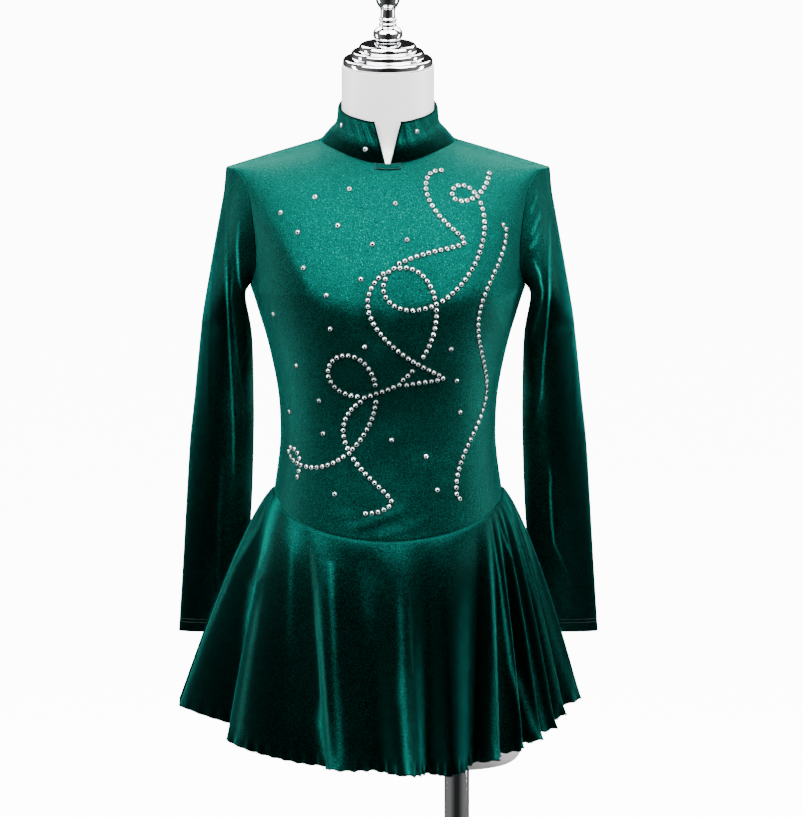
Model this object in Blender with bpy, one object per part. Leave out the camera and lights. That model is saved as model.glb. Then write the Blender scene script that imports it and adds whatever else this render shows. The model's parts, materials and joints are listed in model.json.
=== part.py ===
"""A long-sleeved figure skating dress on a limbless dress form with a pole and a round base.

Z is up and the floor is Z = 0. The origin is the centre of the base plate's underside, on the pole's
axis. The dress form stands to the side of the pole, and the front of the dress faces -Y. Inside the
functions lengths are millimetres in the garment's own frame, whose Z axis is the dress's centre line.
"""
import itertools
import bpy
import bmesh
import numpy as np
from math import asin, atan2, cos, exp, hypot, pi, radians, sin, sqrt
from mathutils import Vector

MM = 0.001

# The dress stands beside the pole by this much
POLE_OFFSET = 82.0

# Cloth
VELVET = 1.5
SEAM_GAP = 0.3
FORM_CLEARANCE = 0.45

# Body sections from the hips to the underarm: height, half width, front depth, back depth
SECTIONS = (
    (650, 158, 106, 118),
    (740, 163, 112, 124),
    (830, 161, 114, 126),
    (900, 153, 111, 121),
    (950, 144, 105, 112),
    (1005, 134.5, 98, 101),
    (1060, 127.5, 92, 88),
    (1095, 127.5, 93, 85),
    (1125, 130, 99, 86),
    (1158, 136, 108, 90),
    (1190, 143.5, 116, 95),
    (1220, 152.5, 120, 100),
    (1250, 162, 122, 104),
)
SQUARENESS = 0.91
UNDERARM_HEIGHT = 1250.0

# Shoulders and neck
NECK_SIDE = 79.0
NECK_SIDE_HEIGHT = 1420.0
SHOULDER_SLOPE = 0.29
FRONT_NECK_RISE = 8.6
BACK_NECK_RISE = 35.0
FRONT_NECK_DEPTH = 64.0
BACK_NECK_DEPTH = 58.0
# Armhole seam: share of the height from underarm to shoulder, half width between the two seams
ARMHOLE = (
    (0.0, 162),
    (0.09, 157.2),
    (0.19, 154.6),
    (0.38, 154.8),
    (0.57, 158),
    (0.77, 163),
    (0.88, 168.5),
    (0.95, 175),
    (1.0, 187),
)
ARMHOLE_HOLLOW = 0.07

# Waist seam, lowest at the centre front and the centre back
SEAM_SIDE_HEIGHT = 1007.0
SEAM_FRONT_DIP = 46.0
SEAM_BACK_DIP = 36.0

# Stand collar: share of its height, share of the way in from the neck seam to the top edge
COLLAR_PROFILE = ((0.0, 0.0), (0.2, 0.36), (0.38, 0.76), (0.58, 0.95), (0.82, 1.0), (1.0, 1.03))
FORM_NECK_PROFILE = ((0.0, 0.0), (0.18, 0.46), (0.36, 0.86), (0.56, 0.98), (0.82, 1.0))
COLLAR_HALF_WIDTH = 59.0
COLLAR_HALF_DEPTH = 57.0
COLLAR_TOP_HEIGHT = 1461.0
COLLAR_TOP_SLOPE = 0.2
NOTCH_HALF_BOTTOM = 2.9
NOTCH_HALF_TOP = 17.5

# Sleeve sections: height, inner edge, outer edge, depth behind the centre, half thickness
SLEEVE = (
    (1233, 167.5, 215, 9, 49),
    (1182, 160.5, 222, 28, 44),
    (1098, 159.5, 231, 62, 34),
    (1045, 160.5, 237, 82, 27),
    (969, 163.5, 242.5, 105, 19),
    (884, 169, 248, 118, 13),
    (803, 173, 253.5, 123, 9),
)

# How far the sleeve's edge stands off where it turns down over the bodice
UNDERARM_LIFT = 1.2
SHOULDER_STAND_OFF = 3.2

# Skirt
SKIRT_LENGTH = 278.0
CONE_SIDE = 226.0
CONE_FRONT = 184.0
CONE_BACK = 178.0
FLARE_POWER = 0.72
FOLD_POWER = 0.95
# Folds in order around the hem, in degrees from the centre front towards +X. Columns: the ridge's turn at
# the waist seam, its turn at the hem, and its reach; then the same three for the valley after it
FOLDS = (
    (-93, -92, 249, -81, -73, 170),
    (-65, -60, 217, -43, -24, 180),
    (-37, -18.5, 201, -13, -3, 173),
    (4, 7, 202, 15, 17, 163),
    (25, 22.5, 199, 45, 38.5, 161),
    (54, 42.5, 191, 57.5, 49, 174),
    (61, 54, 196, 64, 59, 175),
    (67, 64.5, 200, 70, 69.5, 177),
    (73, 75, 205, 76, 80, 182),
    (79, 85, 211, 83, 89.5, 190),
    (89, 95, 231, 98, 107, 172),
    (104, 114, 189, 111, 122, 165),
    (118, 130, 188, 126, 138, 160),
    (134, 147, 192, 142, 156, 158),
    (151, 165, 198, 160, 174, 160),
    (169, 184, 202, 179, 193, 162),
    (188, 202, 197, 197, 211, 158),
    (206, 219, 191, 215, 228, 160),
    (224, 235, 188, 233, 243, 164),
    (243, 251, 194, 256, 260, 175),
)
STEPS_PER_FLANK = 3

# Dress form
FORM_BOTTOM_HEIGHT = 686.0
FORM_BOTTOM_SLOPE = -0.0625
FORM_EDGE_ROUND = 13.0
# Lower edge of the form: share of the rounding drawn in, share of its height
FORM_EDGE_PROFILE = ((1.0, 0.0), (0.45, 0.16), (0.12, 0.5))
# Rows between the lower edge and the waist seam, as shares of that height
FORM_SKIRT_ROWS = (0.14, 0.4, 0.68, 0.88)
FORM_ARM_BULGE = 5.0
NECK_RADIUS = 54.0
NECK_TOP_HEIGHT = 1508.0
CAP_TILT = radians(4)

# Pole, its socket in the form, base plate and hub
POLE_RADIUS = 15.0
POLE_TOP_HEIGHT = 745.0
SOCKET_CLEARANCE = 0.3
SOCKET_START_HEIGHT = 600.0
BASE_RADIUS = 180.0
BASE_THICKNESS = 6.0
BASE_EDGE = 1.2
# Outside of the hub: radius, height above the plate's seat
HUB_PROFILE = ((35.0, 0.0), (35.0, 2.0), (29.0, 4.5), (26.5, 9.0), (25.0, 25.0), (23.5, 27.5))

# How finely the cloth is divided
NECK_COLUMNS = 8
SHOULDER_COLUMNS = 6
LOWER_ROWS = 9
UPPER_ROWS = 10
ROW_CROWDING = 1.25
SKIRT_ROWS = (0.0, 0.05, 0.14, 0.27, 0.43, 0.61, 0.8, 1.0)
SLEEVE_STEPS = (4, 2, 3, 2, 3, 3, 3)
NUDGE = 1e-3


def clear_scene():
    for obj in list(bpy.data.objects):
        bpy.data.objects.remove(obj)


def table(rows, at, column):
    """Smooth value of a table's column at a place in its first column."""
    places = [row[0] for row in rows]
    at = min(max(at, places[0]), places[-1])
    k = min(max(int(np.searchsorted(places, at)) - 1, 0), len(rows) - 2)
    value = [row[column] for row in rows]

    def slope(i):
        low, high = max(i - 1, 0), min(i + 1, len(rows) - 1)
        return (value[high] - value[low]) / (places[high] - places[low])

    span = places[k + 1] - places[k]
    f = (at - places[k]) / span
    ends = value[k] * (1 + 2 * f) * (1 - f) ** 2 + value[k + 1] * f * f * (3 - 2 * f)
    return ends + span * (slope(k) * f * (1 - f) ** 2 - slope(k + 1) * f * f * (1 - f))


def signed_power(value, power):
    return abs(value) ** power * (1 if value >= 0 else -1)


def seam_height(turn, back):
    dip = SEAM_BACK_DIP if back else SEAM_FRONT_DIP
    return SEAM_SIDE_HEIGHT - dip * (1 - abs(1 - cos(turn)) ** 0.85)


def section_point(height, turn, back):
    """Point of the body below the underarm. The turn is 0 at the centre and 90 degrees at the side."""
    depth = table(SECTIONS, height, 3 if back else 2)
    x = table(SECTIONS, height, 1) * signed_power(sin(turn), SQUARENESS)
    y = -depth * signed_power(cos(turn), SQUARENESS)
    return Vector((x, -y if back else y, height))


def ridge_height(x, back):
    """Height of the shoulder line, and of its hidden continuation across the neck."""
    x = abs(x)
    if x > NECK_SIDE:
        return NECK_SIDE_HEIGHT - SHOULDER_SLOPE * (x - NECK_SIDE)
    rise = BACK_NECK_RISE if back else FRONT_NECK_RISE
    return NECK_SIDE_HEIGHT + rise * (1 - (x / NECK_SIDE) ** 2)


def armhole_turn(share):
    """Widest section at this share of the armhole's height, and the turn at which the seam cuts it."""
    hollow = 1 + ARMHOLE_HOLLOW * (1 - exp(-6 * max(share, 0)))
    width = table(ARMHOLE, share, 1) * hollow
    return width, asin((1 / hollow) ** (1 / SQUARENESS))


def roundness(back):
    return 2 / 3 if back else 1.0


def top_climb(s, back):
    """Climb angle at which a column of the upper body meets the shoulder line or the neck seam."""
    width, limit = armhole_turn(1.0)
    x = abs(width * signed_power(sin(s * limit), SQUARENESS))
    if x >= NECK_SIDE - NUDGE:
        return pi / 2
    reach = BACK_NECK_DEPTH if back else FRONT_NECK_DEPTH
    depth = SECTIONS[-1][3 if back else 2] * cos(s * limit) ** SQUARENESS
    fraction = reach * sqrt(1 - (x / NECK_SIDE) ** 2) / depth
    return np.arccos(min(fraction, 1) ** (1 / roundness(back)))


def body_point(s, v, back=False, lower=seam_height):
    """Outer face of the fitted cloth. s runs from -1 at the left side to 1 at the right side. v runs from
    0 at the lower edge over 1 at the underarm to 2 at the shoulder line and neck seam."""
    if v <= 1:
        turn = s * pi / 2
        bottom = lower(turn, back)
        return section_point(bottom + (UNDERARM_HEIGHT - bottom) * v, turn, back)
    climb = top_climb(min(max(s, -1), 1), back) * (v - 1) ** ROW_CROWDING
    share = sin(climb)
    width, limit = armhole_turn(share)
    turn = s * limit
    x = width * signed_power(sin(turn), SQUARENESS)
    depth = SECTIONS[-1][3 if back else 2] * signed_power(cos(turn), SQUARENESS)
    y = -depth * signed_power(cos(climb), roundness(back))
    z = UNDERARM_HEIGHT + (ridge_height(x, back) - UNDERARM_HEIGHT) * share
    return Vector((x, -y if back else y, z))


def body_normal(s, v, back=False, lower=seam_height):
    """Unit normal that points out of the body."""
    across = body_point(s + NUDGE, v, back, lower) - body_point(s - NUDGE, v, back, lower)
    low, high = max(v - NUDGE, 0), v + NUDGE
    up = body_point(s, high, back, lower) - body_point(s, low, back, lower)
    normal = across.cross(up).normalized()
    return -normal if back else normal


def column_places():
    """Places across the body, with a column exactly at each side of the neck."""
    width, limit = armhole_turn(1.0)
    neck = asin((NECK_SIDE / width) ** (1 / SQUARENESS)) / limit
    middle = np.linspace(-neck, neck, NECK_COLUMNS + 1)
    right = np.linspace(neck, 1, SHOULDER_COLUMNS + 1)[1:]
    return list(-right[::-1]) + list(middle) + list(right)


def row_places():
    lower = np.linspace(0, 1, LOWER_ROWS + 1)
    upper = np.linspace(1, 2, UPPER_ROWS + 1)[1:]
    return list(lower) + list(upper)


def body_grid(columns, back=False):
    points = [[body_point(s, v, back) for s in columns] for v in row_places()]
    normals = [[body_normal(s, v, back) for s in columns] for v in row_places()]
    return points, normals


def move_towards(point, neighbour, distance):
    return point + (neighbour - point).normalized() * distance


def open_seams(points, gap, rows=True, columns=True):
    """Draw a grid's edges in by half of the seam gap."""
    moved = [list(row) for row in points]
    if rows:
        moved[0] = [move_towards(a, b, gap) for a, b in zip(points[0], points[1])]
        moved[-1] = [move_towards(a, b, gap) for a, b in zip(points[-1], points[-2])]
    if columns:
        for row in moved:
            row[0] = move_towards(row[0], row[1], gap)
            row[-1] = move_towards(row[-1], row[-2], gap)
    return moved


def grid_normals(points, wrap, flip):
    """Unit normals of a grid of points, which may close on itself across its columns."""
    rows, columns = len(points), len(points[0])
    normals = []
    for i in range(rows):
        line = []
        for j in range(columns):
            right = points[i][(j + 1) % columns] if wrap or j + 1 < columns else points[i][j]
            left = points[i][j - 1] if wrap or j > 0 else points[i][j]
            up = points[min(i + 1, rows - 1)][j]
            down = points[max(i - 1, 0)][j]
            normal = (right - left).cross(up - down).normalized()
            line.append(-normal if flip else normal)
        normals.append(line)
    return normals


def finish_object(name, mesh_data, material):
    """One object from a bmesh that is in millimetres of the garment's frame."""
    bmesh.ops.scale(mesh_data, vec=(MM, MM, MM), verts=mesh_data.verts)
    bmesh.ops.recalc_face_normals(mesh_data, faces=mesh_data.faces)
    mesh = bpy.data.meshes.new(name)
    mesh_data.to_mesh(mesh)
    mesh_data.free()
    mesh.shade_smooth()
    mesh.set_sharp_from_angle(angle=radians(50))
    mesh.materials.append(material)
    obj = bpy.data.objects.new(name, mesh)
    bpy.context.scene.collection.objects.link(obj)
    return obj


def add_grid(mesh_data, points, wrap):
    verts = [[mesh_data.verts.new(p) for p in row] for row in points]
    columns = len(points[0])
    for low, high in zip(verts, verts[1:]):
        for j in range(columns if wrap else columns - 1):
            k = (j + 1) % columns
            mesh_data.faces.new((low[j], low[k], high[k], high[j]))
    return verts


def cloth_wall(name, points, normals, material, wrap=False, thickness=VELVET):
    """A wall of even thickness behind a grid of points on its outer face."""
    inside = [[p - n * thickness for p, n in zip(row, line)] for row, line in zip(points, normals)]
    mesh_data = bmesh.new()
    outer = add_grid(mesh_data, points, wrap)
    inner = add_grid(mesh_data, inside, wrap)
    columns = len(points[0])
    for edge in (0, -1):
        for j in range(columns if wrap else columns - 1):
            k = (j + 1) % columns
            mesh_data.faces.new((outer[edge][j], outer[edge][k], inner[edge][k], inner[edge][j]))
    if not wrap:
        for side in (0, -1):
            for i in range(len(points) - 1):
                mesh_data.faces.new((outer[i][side], outer[i + 1][side], inner[i + 1][side], inner[i][side]))
    return finish_object(name, mesh_data, material)


def make_bodice(material):
    """The front panel and the two back panels, each a wall on the body's shape."""
    columns = column_places()
    middle = len(columns) // 2
    panels = (
        ("bodice_front", columns, False),
        ("bodice_back_left", columns[: middle + 1], True),
        ("bodice_back_right", columns[middle:], True),
    )
    made = []
    for name, places, back in panels:
        points, normals = body_grid(places, back)
        made.append(cloth_wall(name, open_seams(points, SEAM_GAP / 2), normals, material))
    return made


def neck_ring(side):
    """Neck seam of one half, from the centre front round to the centre back."""
    columns = column_places()
    neck_side = columns[SHOULDER_COLUMNS + NECK_COLUMNS]
    places = [s for s in columns if abs(s) <= neck_side + NUDGE]
    front = [body_point(s, 2) for s in places if s * side > -NUDGE]
    back = [body_point(s, 2, True) for s in places if s * side > -NUDGE]
    if side < 0:
        front.reverse()
        back.reverse()
    return front + back[::-1][1:]


def collar_top(turn):
    """Point of the collar's top edge. The turn is 0 at the centre front."""
    y = -COLLAR_HALF_DEPTH * cos(turn)
    return Vector((COLLAR_HALF_WIDTH * sin(turn), y, COLLAR_TOP_HEIGHT + COLLAR_TOP_SLOPE * y))


def collar_rows(ring, tops, profile):
    """Rows between the neck seam and the top edge of the collar, or of the form's neck inside it."""
    rows = []
    for rise, draw in profile:
        row = []
        for foot, top in zip(ring, tops):
            point = foot.lerp(top, draw)
            point.z = foot.z + (top.z - foot.z) * rise
            row.append(point)
        rows.append(row)
    return rows


def make_collar(material):
    """Stand collar in two halves that meet at the centre back and leave a notch at the centre front."""
    made = []
    for name, side in (("collar_left", -1), ("collar_right", 1)):
        ring = neck_ring(side)
        turns = [atan2(p.x, -p.y) for p in ring]
        tops = [collar_top(turn) for turn in turns]
        ring[0] = move_towards(ring[0], ring[1], NOTCH_HALF_BOTTOM)
        tops[0] = collar_top(side * asin(NOTCH_HALF_TOP / COLLAR_HALF_WIDTH))
        tops[1] = collar_top(side * asin(NOTCH_HALF_TOP * 1.45 / COLLAR_HALF_WIDTH))
        rows = collar_rows(ring, tops, COLLAR_PROFILE)
        rows[0] = [move_towards(a, b, SEAM_GAP) for a, b in zip(rows[0], rows[1])]
        for row in rows:
            row[-1] = move_towards(row[-1], row[-2], SEAM_GAP / 2)
        normals = grid_normals(rows, False, side < 0)
        for line in normals:
            line[-1] = Vector((0, line[-1].y, line[-1].z)).normalized()
        made.append(cloth_wall(name, rows, normals, material))
    return made


def armhole_ring(side):
    """Armhole seam, from the underarm up the front to the shoulder tip and down the back. Each entry has
    the point, the direction that leads away from the bodice, and the bodice's normal."""
    rows = [v for v in row_places() if v >= 1]
    stops = [(v, False) for v in rows] + [(v, True) for v in rows[-2:0:-1]]
    ring = []
    for v, back in stops:
        point = body_point(side, v, back)
        away = (point - body_point(side * 0.98, v, back)).normalized()
        ring.append((point, away, body_normal(side, v, back)))
    return ring


def sleeve_section(row, count, side):
    """Flattened oval of the sleeve, from its inner edge round the front."""
    height, inner, outer, depth, half_thickness = row
    centre, half_width = (inner + outer) / 2, (outer - inner) / 2
    turns = [2 * pi * k / count for k in range(count)]
    return [
        Vector((side * (centre - half_width * cos(a)), depth - half_thickness * sin(a), height))
        for a in turns
    ]


def curve_through(points, k, f):
    """Catmull-Rom point between control points k and k + 1."""
    a = points[max(k - 1, 0)]
    b, c = points[k], points[k + 1]
    d = points[min(k + 2, len(points) - 1)]
    return (2 * b + (c - a) * f + (2 * a - 5 * b + 4 * c - d) * f * f + (3 * b - a - 3 * c + d) * f**3) / 2


def make_sleeves(material):
    """Set-in sleeves that hang down and back, open at the armhole and at the cuff."""
    made = []
    for name, side in (("sleeve_left", -1), ("sleeve_right", 1)):
        armhole = armhole_ring(side)
        count = len(armhole)
        controls = [[point for point, _, _ in armhole]]
        controls += [sleeve_section(row, count, side) for row in SLEEVE]
        lines = list(zip(*controls))
        rows = []
        for k, steps in enumerate(SLEEVE_STEPS):
            for step in range(steps):
                rows.append([curve_through(line, k, step / steps) for line in lines])
        rows.append(controls[-1])
        normals = grid_normals(rows, True, side > 0)
        for j, (_, away, body_side) in enumerate(armhole):
            lean = max(0, SHOULDER_STAND_OFF * normals[0][j].dot(away))
            fold_back = max(0, -(rows[1][j] - rows[0][j]).normalized().dot(away))
            rows[0][j] += away * (SEAM_GAP / 2 + lean) + body_side * UNDERARM_LIFT * fold_back
        made.append(cloth_wall(name, rows, normals, material, wrap=True))
    return made


def hem_path():
    """Ridges and valleys in order: seam turn, hem turn and reach, closed by the first ridge again."""
    stops = []
    for ridge_and_valley in FOLDS:
        stops += [ridge_and_valley[:3], ridge_and_valley[3:]]
    seam, turn, reach = stops[0]
    return stops + [(seam + 360, turn + 360, reach)]


def skirt_columns():
    """Seam turn, hem turn and hem reach of each line that runs down the skirt."""
    stops = hem_path()
    columns = []
    for (seam, turn, reach), (next_seam, next_turn, next_reach) in zip(stops, stops[1:]):
        for step in range(STEPS_PER_FLANK):
            f = step / STEPS_PER_FLANK
            ease = (1 - cos(pi * f)) / 2
            columns.append((
                radians(seam + (next_seam - seam) * f),
                radians(turn + (next_turn - turn) * f),
                reach + (next_reach - reach) * ease,
            ))
    return columns


def skirt_line(seam_turn, hem_turn, reach):
    """Points of the skirt from the waist seam to the hem along one line of the cloth."""
    back = cos(seam_turn) < 0
    turn = pi - seam_turn if back else seam_turn
    top = section_point(seam_height(turn, back), turn, back)
    depth = CONE_BACK if cos(hem_turn) < 0 else CONE_FRONT
    out_x, out_y = sin(hem_turn), -cos(hem_turn)
    even = 1 / hypot(out_x / CONE_SIDE, out_y / depth)
    flare = (even + reach) / 2 - hypot(top.x, top.y)
    drop = sqrt(SKIRT_LENGTH**2 - flare**2)
    line = []
    for t in SKIRT_ROWS:
        wide, folded = t**FLARE_POWER, t**FOLD_POWER
        x = top.x + (out_x * even - top.x) * wide + out_x * (reach - even) * folded
        y = top.y + (out_y * even - top.y) * wide + out_y * (reach - even) * folded
        line.append(Vector((x, y, top.z - drop * t)))
    line[0] = move_towards(line[0], Vector((line[0].x, line[0].y, 0)), SEAM_GAP)
    return line


def make_skirt(material):
    """Circular skirt in a front and a back piece, joined at the sides."""
    columns = skirt_columns()
    lines = [skirt_line(*column) for column in columns]
    count = len(lines)
    left = 0
    right = min(range(count), key=lambda j: abs(columns[j][0] - pi / 2))
    rows = [[line[i] for line in lines] for i in range(len(SKIRT_ROWS))]
    normals = grid_normals(rows, True, True)
    halves = (("skirt_front", range(left, right + 1)), ("skirt_back", range(right, count + 1)))
    made = []
    for name, picked in halves:
        half = [[row[j % count] for j in picked] for row in rows]
        half_normals = [[line[j % count] for j in picked] for line in normals]
        half = open_seams(half, SEAM_GAP / 2, rows=False)
        made.append(cloth_wall(name, half, half_normals, material))
    return made


def form_rows():
    """Closed rings of the form below the underarm, from its rounded lower edge up."""
    inset = VELVET + FORM_CLEARANCE
    rings = []

    def ring(height_of, shrink):
        points = []
        for back in (False, True):
            places = column_places() if not back else column_places()[::-1][1:-1]
            for s in places:
                turn = s * pi / 2
                point = section_point(height_of(turn, back), turn, back)
                flat = Vector((point.x, point.y, 0))
                points.append(point - flat.normalized() * (inset + shrink))
        return points

    def lower_edge(share):
        def height(turn, back):
            x = SECTIONS[0][1] * sin(turn)
            bottom = FORM_BOTTOM_HEIGHT + FORM_BOTTOM_SLOPE * x
            return bottom + (seam_height(turn, back) - bottom) * share
        return height

    for shrink, rise in FORM_EDGE_PROFILE:
        def height(turn, back, rise=rise):
            return lower_edge(0)(turn, back) + FORM_EDGE_ROUND * rise
        rings.append(ring(height, FORM_EDGE_ROUND * shrink))
    for share in FORM_SKIRT_ROWS:
        rings.append(ring(lower_edge(share), 0))
    return rings


def make_form(material, pole_axis):
    """Torso and neck of the dress form: the body's shape, set in from the cloth."""
    inset = VELVET + FORM_CLEARANCE
    columns = column_places()
    sheets = []
    for back in (False, True):
        points, normals = body_grid(columns, back)
        sheets.append([[p - n * inset for p, n in zip(row, line)] for row, line in zip(points, normals)])
    front, rear = sheets
    for i, j in itertools.product(range(len(front)), range(len(columns))):
        at_side = i <= LOWER_ROWS and j in (0, len(columns) - 1)
        on_neck = SHOULDER_COLUMNS < j < SHOULDER_COLUMNS + NECK_COLUMNS
        at_shoulder = i == len(front) - 1 and not on_neck
        if at_side or at_shoulder:
            front[i][j] = rear[i][j] = (front[i][j] + rear[i][j]) / 2
    mesh_data = bmesh.new()
    rings = form_rows()
    for i in range(LOWER_ROWS + 1):
        rings.append(front[i] + rear[i][::-1][1:-1])
    low = add_grid(mesh_data, rings, True)
    mesh_data.faces.new(low[0])
    for sheet in sheets:
        add_grid(mesh_data, sheet[LOWER_ROWS:], False)
    for edge, side in ((0, -1), (-1, 1)):
        ends = []
        for i in range(LOWER_ROWS, len(front)):
            bulge = Vector((side * FORM_ARM_BULGE, 0, 0)) * sin(pi * (i - LOWER_ROWS) / UPPER_ROWS)
            middle = (front[i][edge] + rear[i][edge]) / 2 + bulge
            ends.append([front[i][edge], middle, rear[i][edge]])
        add_grid(mesh_data, ends, False)
    neck_from, neck_to = SHOULDER_COLUMNS, SHOULDER_COLUMNS + NECK_COLUMNS
    seam = front[-1][neck_from:neck_to + 1] + rear[-1][neck_from:neck_to + 1][::-1][1:-1]
    turns = [atan2(p.x, -p.y) for p in seam]
    tops, lip = [], []
    for turn in turns:
        inward = Vector((-sin(turn), cos(turn), 0))
        tops.append(collar_top(turn) + inward * (COLLAR_HALF_WIDTH - NECK_RADIUS))
        edge = -inward * NECK_RADIUS
        lip.append(Vector((edge.x, edge.y, NECK_TOP_HEIGHT + edge.y * sin(CAP_TILT))))
    neck = collar_rows(seam, tops, FORM_NECK_PROFILE) + [lip]
    top = add_grid(mesh_data, neck, True)
    mesh_data.faces.new(top[-1])
    bmesh.ops.remove_doubles(mesh_data, verts=mesh_data.verts, dist=0.01)
    bmesh.ops.dissolve_degenerate(mesh_data, edges=mesh_data.edges, dist=0.01)
    bmesh.ops.triangulate(mesh_data, faces=[f for f in mesh_data.faces if len(f.verts) > 4])
    form = finish_object("form_body", mesh_data, material)
    radius, top_height = POLE_RADIUS + SOCKET_CLEARANCE, POLE_TOP_HEIGHT + SOCKET_CLEARANCE
    socket = turned("pole_socket", rod(radius, SOCKET_START_HEIGHT, top_height), material, 24)
    socket.location.x = pole_axis * MM
    socket.hide_render = True
    socket.display_type = "WIRE"
    cut = form.modifiers.new("socket", "BOOLEAN")
    cut.operation = "DIFFERENCE"
    cut.object = socket
    cut.solver = "EXACT"
    return form, socket


def turned(name, profile, material, segments):
    """Solid of revolution about Z. The profile is radius and height, from the axis round to the axis, or
    all the way round a ring."""
    mesh_data = bmesh.new()
    rings = []
    for radius, height in profile:
        if radius == 0:
            rings.append([mesh_data.verts.new((0, 0, height))])
            continue
        turns = [2 * pi * k / segments for k in range(segments)]
        rings.append([mesh_data.verts.new((radius * cos(a), radius * sin(a), height)) for a in turns])
    if profile[0][0] > 0:
        rings.append(rings[0])
    for low, high in zip(rings, rings[1:]):
        for k in range(segments):
            m = (k + 1) % segments
            corners = [low[k % len(low)], low[m % len(low)], high[m % len(high)], high[k % len(high)]]
            mesh_data.faces.new(list(dict.fromkeys(corners)))
    return finish_object(name, mesh_data, material)


def rod(radius, foot, top):
    return ((0, foot), (radius, foot), (radius, top), (0, top))


def disc_profile(base, levels):
    """Stepped profile from the axis at a base height through (radius, height above the base) pairs."""
    points = [(0, base)]
    points += [(radius, base + height) for radius, height in levels]
    return points + [(0, points[-1][1])]


def make_cap_and_finial(material):
    """Stepped metal cap on the neck, with a turned finial screwed on it."""
    cap_levels = (
        (51.0, 0), (52.5, 1.5), (52.5, 6.0), (51.0, 8.5), (44.0, 10.0),
        (42.5, 11.0), (42.5, 15.0), (41.0, 17.0), (35.5, 18.0),
        (34.0, 19.0), (34.0, 22.0), (32.0, 25.0), (18.0, 29.0),
    )
    finial_levels = (
        (13.0, 0), (16.0, 2.5), (17.5, 6.5), (17.0, 11.0), (13.5, 15.0),
        (9.5, 17.0), (10.5, 18.5), (10.5, 20.5), (8.6, 22.0), (10.5, 24.0), (10.5, 26.0),
        (8.6, 27.5), (8.6, 38.0), (11.0, 40.5), (14.0, 46.0), (15.0, 54.0), (13.0, 63.0),
        (8.0, 71.0), (3.0, 75.0),
    )
    cap = turned("neck_cap", disc_profile(0, cap_levels), material, 40)
    finial = turned("finial", disc_profile(cap_levels[-1][1] + SEAM_GAP, finial_levels), material, 20)
    for obj in (cap, finial):
        obj.location = Vector((0, 0, NECK_TOP_HEIGHT + SEAM_GAP)) * MM
        obj.rotation_euler.x = CAP_TILT
    return [cap, finial]


def make_stand(metal):
    """Pole in a hub that is bolted on a round base plate."""
    base_profile = (
        (0, 0), (BASE_RADIUS - BASE_EDGE, 0), (BASE_RADIUS, BASE_EDGE),
        (BASE_RADIUS, BASE_THICKNESS - BASE_EDGE), (BASE_RADIUS - BASE_EDGE, BASE_THICKNESS),
        (0, BASE_THICKNESS),
    )
    turned("base_plate", base_profile, metal, 48)
    seat = BASE_THICKNESS + SEAM_GAP
    bore = POLE_RADIUS + SOCKET_CLEARANCE
    outside = [(radius, seat + height) for radius, height in HUB_PROFILE]
    turned("base_hub", outside + [(bore, outside[-1][1]), (bore, seat)], metal, 32)
    turned("pole", rod(POLE_RADIUS, seat, POLE_TOP_HEIGHT), metal, 24)


def make_material(name, colour, roughness, metallic):
    material = bpy.data.materials.new(name)
    material.use_nodes = True
    shader = material.node_tree.nodes["Principled BSDF"]
    shader.inputs["Base Color"].default_value = (*colour, 1)
    shader.inputs["Roughness"].default_value = roughness
    shader.inputs["Metallic"].default_value = metallic
    return material


def main():
    clear_scene()
    velvet = make_material("green stretch velvet", (0.006, 0.075, 0.058), 0.85, 0)
    shell = make_material("white form shell", (0.78, 0.77, 0.76), 0.45, 0)
    chrome = make_material("chrome plated steel", (0.8, 0.8, 0.82), 0.12, 1)
    centre = bpy.data.objects.new("dress_centre", None)
    bpy.context.scene.collection.objects.link(centre)
    centre.location.x = -POLE_OFFSET * MM
    pieces = make_bodice(velvet) + make_collar(velvet) + make_sleeves(velvet) + make_skirt(velvet)
    pieces += make_form(shell, POLE_OFFSET)
    pieces += make_cap_and_finial(chrome)
    for piece in pieces:
        piece.parent = centre
    make_stand(chrome)


main()
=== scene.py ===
"""A long-sleeved skating dress in green stretch velvet, worn by a white dress form on a chrome stand.

Shapes are worked out in millimetres in the dress's own frame, whose Z axis is the centre line of the
dress and whose front faces -Y. Each mesh is moved to the part's frame and turned to metres as it is made.
"""
import json
import math
import bmesh
import bpy
import numpy as np
from mathutils import Euler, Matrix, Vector

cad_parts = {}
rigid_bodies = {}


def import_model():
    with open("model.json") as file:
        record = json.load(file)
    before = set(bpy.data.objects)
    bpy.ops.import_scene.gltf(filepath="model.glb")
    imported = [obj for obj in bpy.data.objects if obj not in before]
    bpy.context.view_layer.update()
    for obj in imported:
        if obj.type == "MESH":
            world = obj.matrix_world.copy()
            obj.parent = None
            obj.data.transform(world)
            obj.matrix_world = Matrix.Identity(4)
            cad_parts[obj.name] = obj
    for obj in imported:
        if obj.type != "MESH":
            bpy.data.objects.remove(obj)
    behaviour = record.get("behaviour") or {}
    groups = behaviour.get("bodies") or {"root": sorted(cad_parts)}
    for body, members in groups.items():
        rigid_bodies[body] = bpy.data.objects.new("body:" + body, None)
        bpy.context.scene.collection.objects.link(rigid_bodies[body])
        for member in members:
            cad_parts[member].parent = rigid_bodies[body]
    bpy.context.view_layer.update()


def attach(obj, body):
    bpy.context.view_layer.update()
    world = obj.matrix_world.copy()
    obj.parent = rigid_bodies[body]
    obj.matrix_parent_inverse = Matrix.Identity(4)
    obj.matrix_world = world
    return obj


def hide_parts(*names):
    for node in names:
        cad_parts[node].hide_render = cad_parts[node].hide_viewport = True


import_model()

# Stand: a round pressed steel base plate, a turned hub bolted on it and a drawn steel tube in the hub, all
# polished and chrome plated. The tube stands off the dress's centre line and goes up into the form.
DRESS_CENTRE_X = -0.082
PLATE_THICKNESS, POLE_RADIUS, POLE_TOP = 6.0, 15.0, 745.0
# Gap between two parts that are put together
FIT_GAP = 0.3
POLE_SEAT = PLATE_THICKNESS + FIT_GAP


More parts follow.
